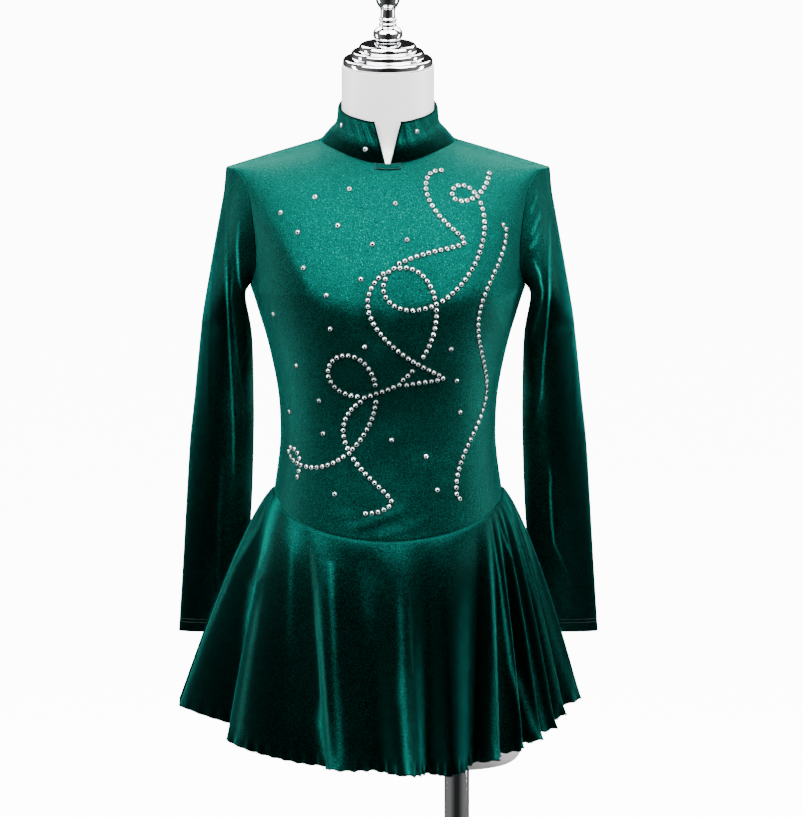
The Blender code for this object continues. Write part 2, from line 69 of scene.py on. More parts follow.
def build(name, points, faces, centre_x=DRESS_CENTRE_X):
    """Mesh object at the origin from points in millimetres, turned so that its faces point out."""
    points = np.asarray(points, float) * 0.001 + (centre_x, 0, 0)
    triangles = [(f[0], f[k], f[k + 1]) for f in faces for k in range(1, len(f) - 1)]
    a, b, c = (points[[t[k] for t in triangles]] for k in range(3))
    if np.einsum("ij,ij->", a, np.cross(b, c)) < 0:
        faces = [tuple(reversed(f)) for f in faces]
    mesh = bpy.data.meshes.new(name)
    mesh.from_pydata(points.tolist(), [], faces)
    mesh.shade_smooth()
    piece = bpy.data.objects.new(name, mesh)
    bpy.context.scene.collection.objects.link(piece)
    return piece


def rounded(profile, radius, steps=4):
    """Profile of radius and height pairs with its corners rounded; its two ends stay."""
    corners = [np.array(p, float) for p in profile]
    line = [corners[0]]
    for before, corner, after in zip(corners, corners[1:], corners[2:]):
        cut_in = min(radius, 0.45 * np.linalg.norm(before - corner))
        cut_out = min(radius, 0.45 * np.linalg.norm(after - corner))
        start = corner + (before - corner) / np.linalg.norm(before - corner) * cut_in
        end = corner + (after - corner) / np.linalg.norm(after - corner) * cut_out
        for f in np.linspace(0, 1, steps + 1):
            line.append(start * (1 - f) ** 2 + corner * 2 * f * (1 - f) + end * f * f)
    return np.array(line + [corners[-1]])


def turned(name, profile, segments, centre_x=0.0, seat=0.0, tilt=0.0):
    """Turned solid. The profile runs from the axis to the axis, or round a ring and back to its start."""
    profile = np.array(profile, float)
    turns = np.arange(segments) * 2 * math.pi / segments
    rings, points = [], []
    for radius, height in profile:
        count = segments if radius > 1e-6 else 1
        rings.append([len(points) + k for k in range(count)])
        points += [(radius * math.cos(a), radius * math.sin(a), height) for a in turns[:count]]
    faces = []
    for low, high in zip(rings, rings[1:]):
        for k in range(segments):
            m = (k + 1) % segments
            corners = (low[k % len(low)], low[m % len(low)], high[m % len(high)], high[k % len(high)])
            faces.append(tuple(dict.fromkeys(corners)))
    if profile[0][0] > 1e-6:
        first, last = rings[0], rings[-1]
        faces = [tuple(first[last.index(v)] if v in last else v for v in f) for f in faces]
        points = points[:-segments]
    lean = Euler((tilt, 0, 0)).to_matrix()
    points = [lean @ Vector(p) + Vector((0, 0, seat)) for p in points]
    return build(name, points, faces, centre_x)


def linear(hex_colour):
    """Linear RGBA of an sRGB hex colour."""
    parts = [int(hex_colour[k:k + 2], 16) / 255 for k in (1, 3, 5)]
    return tuple(c / 12.92 if c < 0.04045 else ((c + 0.055) / 1.055) ** 2.4 for c in parts) + (1.0,)


def add(tree, kind, inputs=None, **settings):
    """Adds a node; inputs are values or other nodes' output sockets."""
    node = tree.nodes.new(kind)
    for name, value in settings.items():
        setattr(node, name, value)
    for name, value in (inputs or {}).items():
        if isinstance(value, bpy.types.NodeSocket):
            tree.links.new(value, node.inputs[name])
        else:
            node.inputs[name].default_value = value
    return node


def new_material(name):
    """New material, with its node tree and its main shader."""
    material = bpy.data.materials.new(name)
    material.use_nodes = True
    return material, material.node_tree, material.node_tree.nodes["Principled BSDF"]


# Chrome on polished steel is a clear mirror. Handling leaves faint smears a few centimetres long, which
# only change how sharp the mirror is.
chrome, tree, shader = new_material("polished chrome plate")
shader.inputs["Base Color"].default_value = linear("#DCDDE0")
shader.inputs["Metallic"].default_value = 1.0
place = add(tree, "ShaderNodeTexCoord").outputs["Object"]
smears = add(tree, "ShaderNodeTexNoise", {"Vector": place, "Scale": 45.0, "Detail": 3.0})
range_node = add(tree, "ShaderNodeMapRange", {"Value": smears.outputs["Fac"], "From Min": 0.35,
                 "From Max": 0.7, "To Min": 0.05, "To Max": 0.075})
tree.links.new(range_node.outputs["Result"], shader.inputs["Roughness"])


def metal_piece(piece, node):
    """Plates a turned piece and puts it in its solid's place."""
    piece.data.materials.append(chrome)
    piece.data.set_sharp_from_angle(angle=math.radians(40))
    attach(piece, "root")
    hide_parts(node)


BASE_PROFILE = ((0, 0), (178.8, 0), (180, 1.2), (180, 4.8), (178.8, 6), (0, 6))
HUB_OUTSIDE = ((35, 0), (35, 2), (29, 4.5), (26.5, 9), (25, 25), (23.5, 27.5))
HUB_BORE = POLE_RADIUS + FIT_GAP
metal_piece(turned("chrome_base_plate", rounded(BASE_PROFILE, radius=1.0), segments=192), "base_plate")
hub_profile = rounded(((HUB_BORE, 0),) + HUB_OUTSIDE + ((HUB_BORE, HUB_OUTSIDE[-1][1]),), radius=0.8)
hub_profile = np.vstack([hub_profile, hub_profile[:1]])
metal_piece(turned("chrome_base_hub", hub_profile, segments=96, seat=POLE_SEAT), "base_hub")
pole_profile = ((0, POLE_SEAT), (POLE_RADIUS, POLE_SEAT), (POLE_RADIUS, POLE_TOP), (0, POLE_TOP))
metal_piece(turned("chrome_pole", pole_profile, segments=96), "pole")

# Dress form: a limbless torso and neck moulded in white plastic with a satin gloss, in one smooth shell. Its
# flat underside has the socket for the pole. The fitted cloth has the same shape and lies just off it.
# Body sections from the hips to the underarm: height, half width, front depth, back depth
SECTIONS = (
    (650, 158, 106, 118),
    (740, 163, 112, 124),
    (830, 161, 114, 126),
    (900, 153, 111, 121),
    (950, 144, 105, 112),
    (1005, 134.5, 98, 101),
    (1060, 127.5, 92, 88),
    (1095, 127.5, 93, 85),
    (1125, 130, 99, 86),
    (1158, 136, 108, 90),
    (1190, 143.5, 116, 96.2),
    (1220, 152.5, 120.4, 101.4),
    (1236, 157.3, 121.6, 103.3),
    (1246, 160.7, 121.97, 103.95),
    (1250, 162, 122, 104),
)
# Armhole seam: share of the height from underarm to shoulder, half width between the two seams
ARMHOLE = (
    (0.0, 162),
    (0.09, 157.2),
    (0.19, 154.6),
    (0.38, 154.8),
    (0.57, 158),
    (0.77, 163),
    (0.88, 168.5),
    (0.95, 175),
    (1.0, 187),
)
# How square the sections are, the underarm's height, and how much of a section's width the armhole cuts off
SQUARENESS = 0.91
UNDERARM = 1250.0
ARMHOLE_HOLLOW = 0.07
# Neck seam, shoulder line and waist seam. The front (False) and the back (True) have their own values
NECK_SIDE, NECK_SIDE_HEIGHT, SHOULDER_SLOPE = 79.0, 1420.0, 0.29
NECK_RISE = {False: 8.6, True: 35.0}
NECK_DEPTH = {False: 64.0, True: 58.0}
SEAM_SIDE_HEIGHT = 1007.0
SEAM_DIP = {False: 46.0, True: 36.0}
# Over 1, so that rows stand closer just above the underarm
ROW_CROWDING = 1.25


def table(rows, at, column):
    """Smooth value of a table's column at places in its first column."""
    rows = np.array(rows, float)
    place, value = rows[:, 0], rows[:, column]
    low = np.maximum(np.arange(len(place)) - 1, 0)
    high = np.minimum(low + 2, len(place) - 1)
    high[0] = 1
    slope = (value[high] - value[low]) / (place[high] - place[low])
    at = np.clip(at, place[0], place[-1])
    k = np.clip(np.searchsorted(place, at) - 1, 0, len(place) - 2)
    span = place[k + 1] - place[k]
    f = (at - place[k]) / span
    ends = value[k] * (1 + 2 * f) * (1 - f) ** 2 + value[k + 1] * f * f * (3 - 2 * f)
    return ends + span * (slope[k] * f * (1 - f) ** 2 - slope[k + 1] * f * f * (1 - f))


def power(value, exponent):
    """Power of a value's size, with its sign kept."""
    return np.sign(value) * np.abs(value) ** exponent


def vectors(x, y, z):
    """Points or directions from their three parts."""
    return np.stack(np.broadcast_arrays(x, y, z), axis=-1).astype(float)


def seam_height(turn, back):
    """Height of the waist seam, which dips towards the centre."""
    return SEAM_SIDE_HEIGHT - SEAM_DIP[back] * (1 - np.abs(1 - np.cos(turn)) ** 0.85)


def section_point(height, turn, back):
    """Point of the section at a height, turned from straight ahead or, on the back, from straight behind."""
    x = table(SECTIONS, height, 1) * power(np.sin(turn), SQUARENESS)
    y = -table(SECTIONS, height, 3 if back else 2) * power(np.cos(turn), SQUARENESS)
    return vectors(x, -y if back else y, height)


def ridge_height(x, back):
    """Height of the neck seam and the shoulder line at a place across."""
    x = np.abs(x)
    rise = NECK_RISE[back] * (1 - (x / NECK_SIDE) ** 2)
    return NECK_SIDE_HEIGHT + np.where(x > NECK_SIDE, SHOULDER_SLOPE * (NECK_SIDE - x), rise)


def armhole_turn(share):
    """Half width of the uncut section at a share of the way up, and the turn where the armhole cuts it."""
    hollow = 1 + ARMHOLE_HOLLOW * (1 - np.exp(-6 * np.maximum(share, 0)))
    return table(ARMHOLE, share, 1) * hollow, np.arcsin((1 / hollow) ** (1 / SQUARENESS))


def body(s, v, back=False, lower=seam_height):
    """Fitted cloth's outer face. s is -1 at the left side and 1 at the right; v is 0 at the lower edge, 1
    at the underarm and 2 at the shoulder line and the neck seam."""
    s, v = np.broadcast_arrays(np.asarray(s, float), np.asarray(v, float))
    turn = s * math.pi / 2
    bottom = lower(turn, back)
    below = section_point(bottom + (UNDERARM - bottom) * v, turn, back)
    depth_in = 2 / 3 if back else 1.0
    width, limit = armhole_turn(np.ones_like(s))
    inner_turn = np.clip(s, -1, 1) * limit
    x = np.abs(width * power(np.sin(inner_turn), SQUARENESS))
    full = SECTIONS[-1][3 if back else 2]
    at_top = NECK_DEPTH[back] * np.sqrt(np.clip(1 - (x / NECK_SIDE) ** 2, 0, 1))
    at_top = at_top / (full * np.abs(np.cos(inner_turn)) ** SQUARENESS + 1e-9)
    top = np.where(x >= NECK_SIDE - 1e-3, math.pi / 2, np.arccos(np.minimum(at_top, 1) ** (1 / depth_in)))
    climb = top * np.maximum(v - 1, 0) ** ROW_CROWDING
    share = np.sin(climb)
    width, limit = armhole_turn(share)
    turn = s * limit
    x = width * power(np.sin(turn), SQUARENESS)
    y = -full * power(np.cos(turn), SQUARENESS) * power(np.cos(climb), depth_in)
    z = UNDERARM + (ridge_height(x, back) - UNDERARM) * share
    return np.where((v <= 1)[..., None], below, vectors(x, -y if back else y, z))


def neck_share():
    """Where along the shoulder line the neck begins, as a share of the half width."""
    width, limit = armhole_turn(np.array(1.0))
    return float(np.arcsin((NECK_SIDE / width) ** (1 / SQUARENESS)) / limit)


def unit(v):
    """Vectors of length one."""
    return v / (np.linalg.norm(v, axis=-1, keepdims=True) + 1e-12)


def grid_normals(points, wrap=False):
    """Unit normals of a grid of points, along (across x up)."""
    if wrap:
        across = np.roll(points, -1, axis=1) - np.roll(points, 1, axis=1)
    else:
        across = np.gradient(points, axis=1)
    return unit(np.cross(across, np.gradient(points, axis=0)))


def body_normals(s, v, back, lower=seam_height):
    """Unit normals of the fitted cloth, out of the body."""
    step = 1e-3
    across = body(s + step, v, back, lower) - body(s - step, v, back, lower)
    up = body(s, v + step, back, lower) - body(s, np.maximum(v - step, 0), back, lower)
    return unit(np.cross(across, up)) * (-1 if back else 1)


# How far the form lies inside the cloth's outer face, and where its socket for the pole is
FORM_INSET = 1.95
POLE_OFFSET, SOCKET_RADIUS = 82.0, POLE_RADIUS + FIT_GAP
FORM_BOTTOM, FORM_BOTTOM_SLOPE, FORM_EDGE_ROUND = 686.0, -0.0625, 13.0
FORM_ARM_BULGE = 5.0
NECK_RADIUS, NECK_TOP, CAP_TILT = 54.0, 1508.0, math.radians(4)
FORM_NECK_PROFILE = ((0.0, 0.0), (0.18, 0.46), (0.36, 0.86), (0.56, 0.98), (0.82, 1.0))
COLLAR_HALF_WIDTH, COLLAR_HALF_DEPTH = 59.0, 57.0
COLLAR_TOP, COLLAR_SLOPE = 1461.0, 0.2


def collar_top(turn):
    """Top edge of the collar, an oval that rises towards the back."""
    y = -COLLAR_HALF_DEPTH * np.cos(turn)
    return vectors(COLLAR_HALF_WIDTH * np.sin(turn), y, COLLAR_TOP + COLLAR_SLOPE * y)


def smooth_profile(profile, count):
    """Points along a collar profile: share of the height, share of the way in."""
    rises = np.linspace(0, profile[-1][0], count)
    return [(rise, float(table(profile, rise, 1))) for rise in rises]


def collar_rows(feet, tops, profile):
    """Rows from the feet to the tops, at the profile's shares of the height and of the way in."""
    rows = []
    for rise, draw in profile:
        row = feet + (tops - feet) * draw
        row[:, 2] = feet[:, 2] + (tops[:, 2] - feet[:, 2]) * rise
        rows.append(row)
    return rows


def quads(index):
    """Faces between the rows and columns of an array of point numbers."""
    corners = (index[:-1, :-1], index[:-1, 1:], index[1:, 1:], index[1:, :-1])
    return [tuple(f) for f in np.stack(corners, axis=-1).reshape(-1, 4).tolist()]


def form_mesh():
    """Points and faces of the form: its socket, underside, torso, shoulders, arm ends and neck."""
    neck = neck_share()
    s = np.concatenate([np.linspace(-1, -neck, 15)[:-1], np.linspace(-neck, neck, 33),
                        np.linspace(neck, 1, 15)[1:]])
    loop_turn = np.concatenate([s, s[::-1][1:-1]]) * math.pi / 2
    is_back = np.arange(len(loop_turn)) >= len(s)
    rings = []

    def ring(height_of, shrink):
        points = np.zeros((len(loop_turn), 3))
        for back in (False, True):
            pick = is_back == back
            points[pick] = section_point(height_of(loop_turn[pick], back), loop_turn[pick], back)
        flat = points * (1, 1, 0)
        return points - unit(flat) * (FORM_INSET + shrink)

    def lower_edge(share, lift=0.0):
        def height(turn, back):
            bottom = FORM_BOTTOM + FORM_BOTTOM_SLOPE * SECTIONS[0][1] * np.sin(turn) + lift
            return bottom + (seam_height(turn, back) - bottom) * share
        return height

    for corner in np.linspace(0, math.pi / 2, 9)[:-1]:
        lift, shrink = 1 - math.cos(corner), 1 - math.sin(corner)
        rings.append(ring(lower_edge(0, FORM_EDGE_ROUND * lift), FORM_EDGE_ROUND * shrink))
    for share in np.linspace(0.06, 0.96, 24):
        rings.append(ring(lower_edge(share), 0))
    sheets = []
    rows = np.concatenate([np.linspace(0, 1, 25), np.linspace(1, 2, 41)[1:]])
    for back in (False, True):
        points = body(s[None, :], rows[:, None], back)
        sheets.append(points - body_normals(s[None, :], rows[:, None], back) * FORM_INSET)
    front, rear = sheets
    # The front and the back meet at their edges up to the underarm, which is row number low
    low, last = 24, len(s) - 1
    middle = (front + rear) / 2
    for j in (0, last):
        front[:low + 1, j] = rear[:low + 1, j] = middle[:low + 1, j]
    on_neck = np.abs(s) < neck - 1e-6
    front[-1][~on_neck] = rear[-1][~on_neck] = middle[-1][~on_neck]
    for i in range(low + 1):
        rings.append(np.concatenate([front[i], rear[i][::-1][1:-1]]))
    points, faces = [], []

    def put(grid, wrap):
        start = sum(len(p) for p in points)
        grid = np.asarray(grid)
        index = start + np.arange(grid.shape[0] * grid.shape[1]).reshape(grid.shape[:2])
        points.append(grid.reshape(-1, 3))
        faces.extend(quads(np.hstack([index, index[:, :1]]) if wrap else index))
        return index

    # Flat underside, from the socket for the pole to the rounded edge
    outline = rings[0]
    hole_turn = np.arctan2(outline[:, 1], outline[:, 0] - POLE_OFFSET)
    hole = vectors(POLE_OFFSET + SOCKET_RADIUS * np.cos(hole_turn), SOCKET_RADIUS * np.sin(hole_turn), 0.0)
    hole[:, 2] = FORM_BOTTOM + FORM_BOTTOM_SLOPE * hole[:, 0]
    ceiling = hole * (1, 1, 0) + (0, 0, POLE_TOP + FIT_GAP)
    under = [hole + (outline - hole) * f for f in (0.0, 0.25, 0.6, 0.9)]
    shaft = put([ceiling] + under + rings, True)
    faces.append(tuple(shaft[0][::-1].tolist()))
    put(front[low:], False)
    put(rear[low:, ::-1], False)
    for edge, side in ((0, -1), (last, 1)):
        bulge = FORM_ARM_BULGE * np.sin(math.pi * np.linspace(0, 1, len(rows) - low))
        ends = []
        for f in np.linspace(0, 1, 9):
            cap = front[low:, edge] * (1 - f) + rear[low:, edge] * f
            cap[:, 0] += side * bulge * (1 - (2 * f - 1) ** 2)
            ends.append(cap)
        ends = np.stack(ends, axis=1)
        put(ends if side > 0 else ends[:, ::-1], False)
    pick = np.abs(s) <= neck + 1e-6
    seam = np.concatenate([front[-1][pick], rear[-1][pick][::-1][1:-1]])
    turn = np.arctan2(seam[:, 0], -seam[:, 1])
    outward = vectors(np.sin(turn), -np.cos(turn), 0.0)
    tops = collar_top(turn) - outward * (COLLAR_HALF_WIDTH - NECK_RADIUS)
    neck_rows = collar_rows(seam, tops, smooth_profile(FORM_NECK_PROFILE, 24))
    lip = outward * NECK_RADIUS
    lip[:, 2] = NECK_TOP + lip[:, 1] * math.sin(CAP_TILT)
    at_collar = neck_rows[-1]
    for f in (0.34, 0.67):
        neck_rows.append(at_collar * (1 - f) + lip * f)
    top_index = put(neck_rows + [lip], True)
    faces.append(tuple(top_index[-1].tolist()))
    return np.concatenate(points), faces


form_points, form_faces = form_mesh()
form = build("form_shell", form_points, form_faces)


def merge(piece, distance=2e-5):
    """Welds the edges of neighbouring grids."""
    data = bmesh.new()
    data.from_mesh(piece.data)
    bmesh.ops.remove_doubles(data, verts=data.verts, dist=distance)
    bmesh.ops.dissolve_degenerate(data, edges=data.edges, dist=distance / 10)
    bmesh.ops.recalc_face_normals(data, faces=data.faces)
    data.to_mesh(piece.data)
    data.free()


merge(form)
form.data.set_sharp_from_angle(angle=math.radians(45))
# Moulded plastic has a satin gloss, with a faint orange peel from the mould and a trace of dust in its white
shell, tree, shader = new_material("white moulded plastic")
place = add(tree, "ShaderNodeTexCoord").outputs["Object"]
dust = add(tree, "ShaderNodeTexNoise", {"Vector": place, "Scale": 14.0, "Detail": 5.0})
tone = add(tree, "ShaderNodeValToRGB", {"Fac": dust.outputs["Fac"]})
tone.color_ramp.elements[0].color = linear("#E8E6E5")
tone.color_ramp.elements[1].color = linear("#F3F2F2")
tree.links.new(tone.outputs["Color"], shader.inputs["Base Color"])
grain = add(tree, "ShaderNodeTexNoise", {"Vector": place, "Scale": 900.0, "Detail": 2.0})
orange_peel = add(tree, "ShaderNodeBump",
                  {"Height": grain.outputs["Fac"], "Strength": 0.05, "Distance": 0.0002})
tree.links.new(orange_peel.outputs["Normal"], shader.inputs["Normal"])
shader.inputs["Roughness"].default_value = 0.38
form.data.materials.append(shell)
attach(form, "root")
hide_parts("form_body")

# Neck cap and finial: two turned steel pieces, polished and chrome plated. The stepped cap covers the cut of
# the neck, and the finial is screwed on its middle.
CAP_PROFILE = (
    (0, 0), (51, 0), (52.5, 1.5), (52.5, 6), (51, 8.5), (44, 10), (42.5, 11), (42.5, 15), (41, 17),
    (35.5, 18), (34, 19), (34, 22), (32, 25), (18, 29), (0, 29),
)
FINIAL_PROFILE = (
    (0, 0), (13, 0), (16, 2.5), (17.5, 6.5), (17, 11), (13.5, 15), (9.5, 17), (10.5, 18.5), (10.5, 20.5),
    (8.6, 22), (10.5, 24), (10.5, 26), (8.6, 27.5), (8.6, 38), (11, 40.5), (14, 46), (15, 54), (13, 63),
    (8, 71), (3, 75), (0, 75),
)
on_top = {"centre_x": DRESS_CENTRE_X, "seat": NECK_TOP + FIT_GAP, "tilt": CAP_TILT}
metal_piece(turned("chrome_neck_cap", rounded(CAP_PROFILE, radius=1.6), segments=160, **on_top), "neck_cap")
finial_profile = np.array(FINIAL_PROFILE, float) + (0, CAP_PROFILE[-1][1] + FIT_GAP)
metal_piece(turned("chrome_finial", rounded(finial_profile, radius=3.0), segments=96, **on_top), "finial")

# Bodice: a front and two backs cut from stretch velvet, a polyester knit with a 1.5 mm pile, joined at the
# shoulders, the sides and the centre back. It is fitted, so it lies smooth apart from small drag lines.
CLOTH = 1.3


def spread(count, ends, start=0.0, stop=1.0):
    """Places from start to stop, with closer ones near both ends so that a seam's roll shows."""
    close = np.array([0.0, 0.12, 0.27, 0.46, 0.7]) * ends
    middle = np.linspace(ends, 1 - ends, count)
    return start + (stop - start) * np.concatenate([close, middle, 1 - close[::-1]])


def lengths(points, axis):
    """Distance along the cloth from the first row or column."""
    steps = np.linalg.norm(np.diff(points, axis=axis), axis=-1)
    start = np.zeros_like(np.take(steps, [0], axis=axis))
    return np.concatenate([start, np.cumsum(steps, axis=axis)], axis=axis)


def seam_roll(points, depth, width, rows=(True, True), columns=(True, True)):
    """How far the cloth turns in towards its sewn edges."""
    roll = np.zeros(points.shape[:2])
    for axis, wanted in ((0, rows), (1, columns)):
        run = lengths(points, axis)
        whole = np.take(run, [-1], axis=axis)
        for use, distance in ((wanted[0], run), (wanted[1], whole - run)):
            if use:
                roll = np.maximum(roll, np.clip(1 - distance / width, 0, 1) ** 2)
    return -depth * roll


def strokes(x, z, table_of_strokes):
    """Soft ridges and troughs along lines in a piece's own two coordinates. Each has a height, a half
    width and the line's points, and fades towards its ends."""
    height = np.zeros(np.broadcast(x, z).shape)
    for rise, width, line in table_of_strokes:
        line = np.array(line, float)
        runs = np.concatenate([[0], np.cumsum(np.linalg.norm(np.diff(line, axis=0), axis=1))])
        best = np.full(height.shape, 1e9)
        along = np.zeros(height.shape)
        for k in range(len(line) - 1):
            a, b = line[k], line[k + 1]
            span = b - a
            f = np.clip(((x - a[0]) * span[0] + (z - a[1]) * span[1]) / (span @ span), 0, 1)
            gap = np.hypot(x - a[0] - f * span[0], z - a[1] - f * span[1])
            nearer = gap < best
            best = np.where(nearer, gap, best)
            along = np.where(nearer, runs[k] + f * (runs[k + 1] - runs[k]), along)
        share = along / runs[-1]
        fade = np.clip(np.minimum(share, 1 - share) * 5, 0, 1)
        height += rise * np.exp(-(best / width) ** 2) * fade * fade * (3 - 2 * fade)
    return height


def cloth(name, points, lean, wrap=False, thickness=CLOTH, flip=False):
    """Sheet of cloth as a closed wall behind the grid of points on its right side, with rounded edges and a
    UV map in metres whose V runs up the cloth."""
    normals = grid_normals(points, wrap) * (-1 if flip else 1)
    columns = points.shape[1]
    outer, inner = points, points - normals * thickness

    def rim(edge, next_in, normal):
        """Middle of the rounded edge, about a third of the thickness past the last row."""
        return edge + unit(edge - next_in) * thickness * 0.35 - normal * thickness / 2

    def framed(grid):
        """The grid with the rim round it."""
        low, high = rim(outer[0], outer[1], normals[0]), rim(outer[-1], outer[-2], normals[-1])
        grid = np.concatenate([low[None], grid, high[None]])
        if wrap:
            return grid
        full = np.concatenate([low[None], outer, high[None]])
        side_normals = np.concatenate([normals[:1], normals, normals[-1:]])
        left = rim(full[:, 0], full[:, 1], side_normals[:, 0])
        right = rim(full[:, -1], full[:, -2], side_normals[:, -1])
        return np.concatenate([left[:, None], grid, right[:, None]], axis=1)

    outer_grid, inner_grid = framed(outer), framed(inner)
    shape = outer_grid.shape[:2]
    count = shape[0] * shape[1]
    outer_index = np.arange(count).reshape(shape)
    # Both sides share the points of the rim, and the inner side has its own within it
    inner_index = outer_index.copy()
    inner_index[(slice(1, -1),) if wrap else (slice(1, -1), slice(1, -1))] += count
    across = lengths(outer_grid, 1)
    run = lengths(outer_grid, 0)
    if wrap:
        outer_index = np.hstack([outer_index, outer_index[:, :1]])
        inner_index = np.hstack([inner_index, inner_index[:, :1]])
        across = np.hstack([across, across[:, -1:] * (columns + 1) / columns])
        run = np.hstack([run, run[:, :1]])
    faces = quads(outer_index) + [tuple(reversed(f)) for f in quads(inner_index)]
    all_points = np.concatenate([outer_grid.reshape(-1, 3), inner_grid.reshape(-1, 3)])
    used = np.zeros(len(all_points), bool)
    used[np.unique(np.array(faces))] = True
    renumber = np.cumsum(used) - 1
    faces = [tuple(renumber[list(f)].tolist()) for f in faces]
    piece = build(name, all_points[used], faces)
    # The inner side has the same UV places, because its corners have the same rows and columns. Where build
    # turned the faces round, their corners are turned with them
    u = np.stack([across, run], axis=-1) * 0.001
    corners = (u[:-1, :-1], u[:-1, 1:], u[1:, 1:], u[1:, :-1])
    loops = np.stack(corners, axis=2).reshape(-1, 4, 2)
    outer_first = tuple(piece.data.polygons[0].vertices) == faces[0]
    loops = np.concatenate([loops, loops[:, ::-1]])
    if not outer_first:
        loops = loops[:, ::-1]
    layer = piece.data.uv_layers.new(name="cloth")
    layer.data.foreach_set("uv", loops.reshape(-1))
    rim_columns = (0, 0) if wrap else (1, 1)
    # The "lean" attribute paints light and shade into the velvet's colour and tips its shading normal
    lean = np.pad(np.broadcast_to(lean, points.shape[:2]), ((1, 1), rim_columns), mode="edge").reshape(-1)
    piece.data.attributes.new("lean", "FLOAT", "POINT").data.foreach_set("value", np.tile(lean, 2)[used])
    piece.data.materials.append(velvet)
    return piece


# Stretch velvet is a polyester knit with a 1.5 mm pile that leans over. The piece's own "lean" paints light
# and shade into its colour, bright teal where it is high and near black where it is low, and also tips the
# face up towards the light or down from it; brushing sways that tip a little, and the face turns up no
# further than PILE_LIMIT. Fibre tips keep the cloth's colour in a grazing view, so the shine is tinted as a
# dyed metal's is. Tufts 1 mm apart give the speckle; real ones are finer than a render shows.
PILE_LIMIT = 0.75
velvet, tree, shader = new_material("green stretch velvet")
place = add(tree, "ShaderNodeTexCoord").outputs["Object"]
tufts = add(tree, "ShaderNodeTexNoise", {"Vector": place, "Scale": 850.0, "Detail": 2.0, "Roughness": 0.7})
brushed = add(tree, "ShaderNodeTexNoise", {"Vector": place, "Scale": 26.0, "Detail": 3.0, "Distortion": 0.4})
pile_lean_and_painted_light = add(tree, "ShaderNodeAttribute", attribute_name="lean")
# Place on the colour ramp: the lean, which is painted light and shade, plus the tufts' grain
depth = add(tree, "ShaderNodeMath", {0: pile_lean_and_painted_light.outputs["Fac"], 1: 0.16, 2: tufts.outputs["Fac"]},
            operation="MULTIPLY_ADD")
tone = add(tree, "ShaderNodeValToRGB", {"Fac": depth.outputs["Value"]})
tone.color_ramp.elements[0].position = 0.4
tone.color_ramp.elements[0].color = linear("#00100D")
tone.color_ramp.elements[1].position = 0.68
tone.color_ramp.elements[1].color = linear("#00423A")
tone.color_ramp.elements.new(0.84).color = linear("#007D6E")
tree.links.new(tone.outputs["Color"], shader.inputs["Base Color"])
sway = add(tree, "ShaderNodeMapRange", {"Value": brushed.outputs["Fac"], "From Min": 0.3, "From Max": 0.7,
                                        "To Min": -0.06, "To Max": 0.06})
lean = add(tree, "ShaderNodeMath", {0: pile_lean_and_painted_light.outputs["Fac"], 1: sway.outputs["Result"]}, operation="ADD")
limited = add(tree, "ShaderNodeMath", {0: lean.outputs["Value"], 1: PILE_LIMIT}, operation="MINIMUM")
upward = add(tree, "ShaderNodeCombineXYZ", {"Z": limited.outputs["Value"]})
face = add(tree, "ShaderNodeNewGeometry")
turned_up = add(tree, "ShaderNodeVectorMath", {0: face.outputs["Normal"], 1: upward.outputs["Vector"]},
                operation="ADD")
pile = add(tree, "ShaderNodeVectorMath", {0: turned_up.outputs["Vector"]}, operation="NORMALIZE")
nap = add(tree, "ShaderNodeBump", {"Height": tufts.outputs["Fac"], "Strength": 0.8, "Distance": 0.0006,
                                   "Normal": pile.outputs["Vector"]})
tree.links.new(nap.outputs["Normal"], shader.inputs["Normal"])
shader.inputs["Metallic"].default_value = 0.8
shader.inputs["Roughness"].default_value = 0.43
shader.inputs["Specular IOR Level"].default_value = 0.35
shader.inputs["Specular Tint"].default_value = linear("#00FFEE")
shader.inputs["Sheen Weight"].default_value = 0.18
shader.inputs["Sheen Roughness"].default_value = 0.3
shader.inputs["Sheen Tint"].default_value = linear("#00FFEE")


def wear(piece, node):
    """Puts a piece of velvet in its solid's place."""
    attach(piece, "root")
    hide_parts(node)


# Drag lines: height, half width, and points across from the centre line and up from the floor
FRONT_DRAG_LINES = (
    (0.8, 3.5, ((-52, 975), (-30, 982), (-8, 990), (26, 1004))),
    (-0.7, 3.0, ((-40, 968), (-12, 979), (18, 989))),
    (0.6, 3.0, ((-20, 966), (6, 972), (30, 980), (52, 993))),
    (0.5, 3.0, ((-70, 990), (-48, 992), (-20, 1002))),
    (0.5, 4.0, ((146, 1330), (132, 1322), (120, 1308))),
    (0.4, 4.0, ((150, 1306), (136, 1296), (126, 1280))),
)
BACK_DRAG_LINES = (
    (0.9, 5.0, ((-46, 1012), (-20, 1004), (6, 1010), (40, 1002))),
    (0.8, 5.0, ((-60, 1036), (-30, 1028), (12, 1034))),
    (-0.8, 5.0, ((-20, 1052), (14, 1046), (50, 1052))),
    (0.6, 6.0, ((140, 1270), (120, 1280), (96, 1296))),
    (0.6, 6.0, ((-140, 1272), (-118, 1282), (-98, 1292))),
)


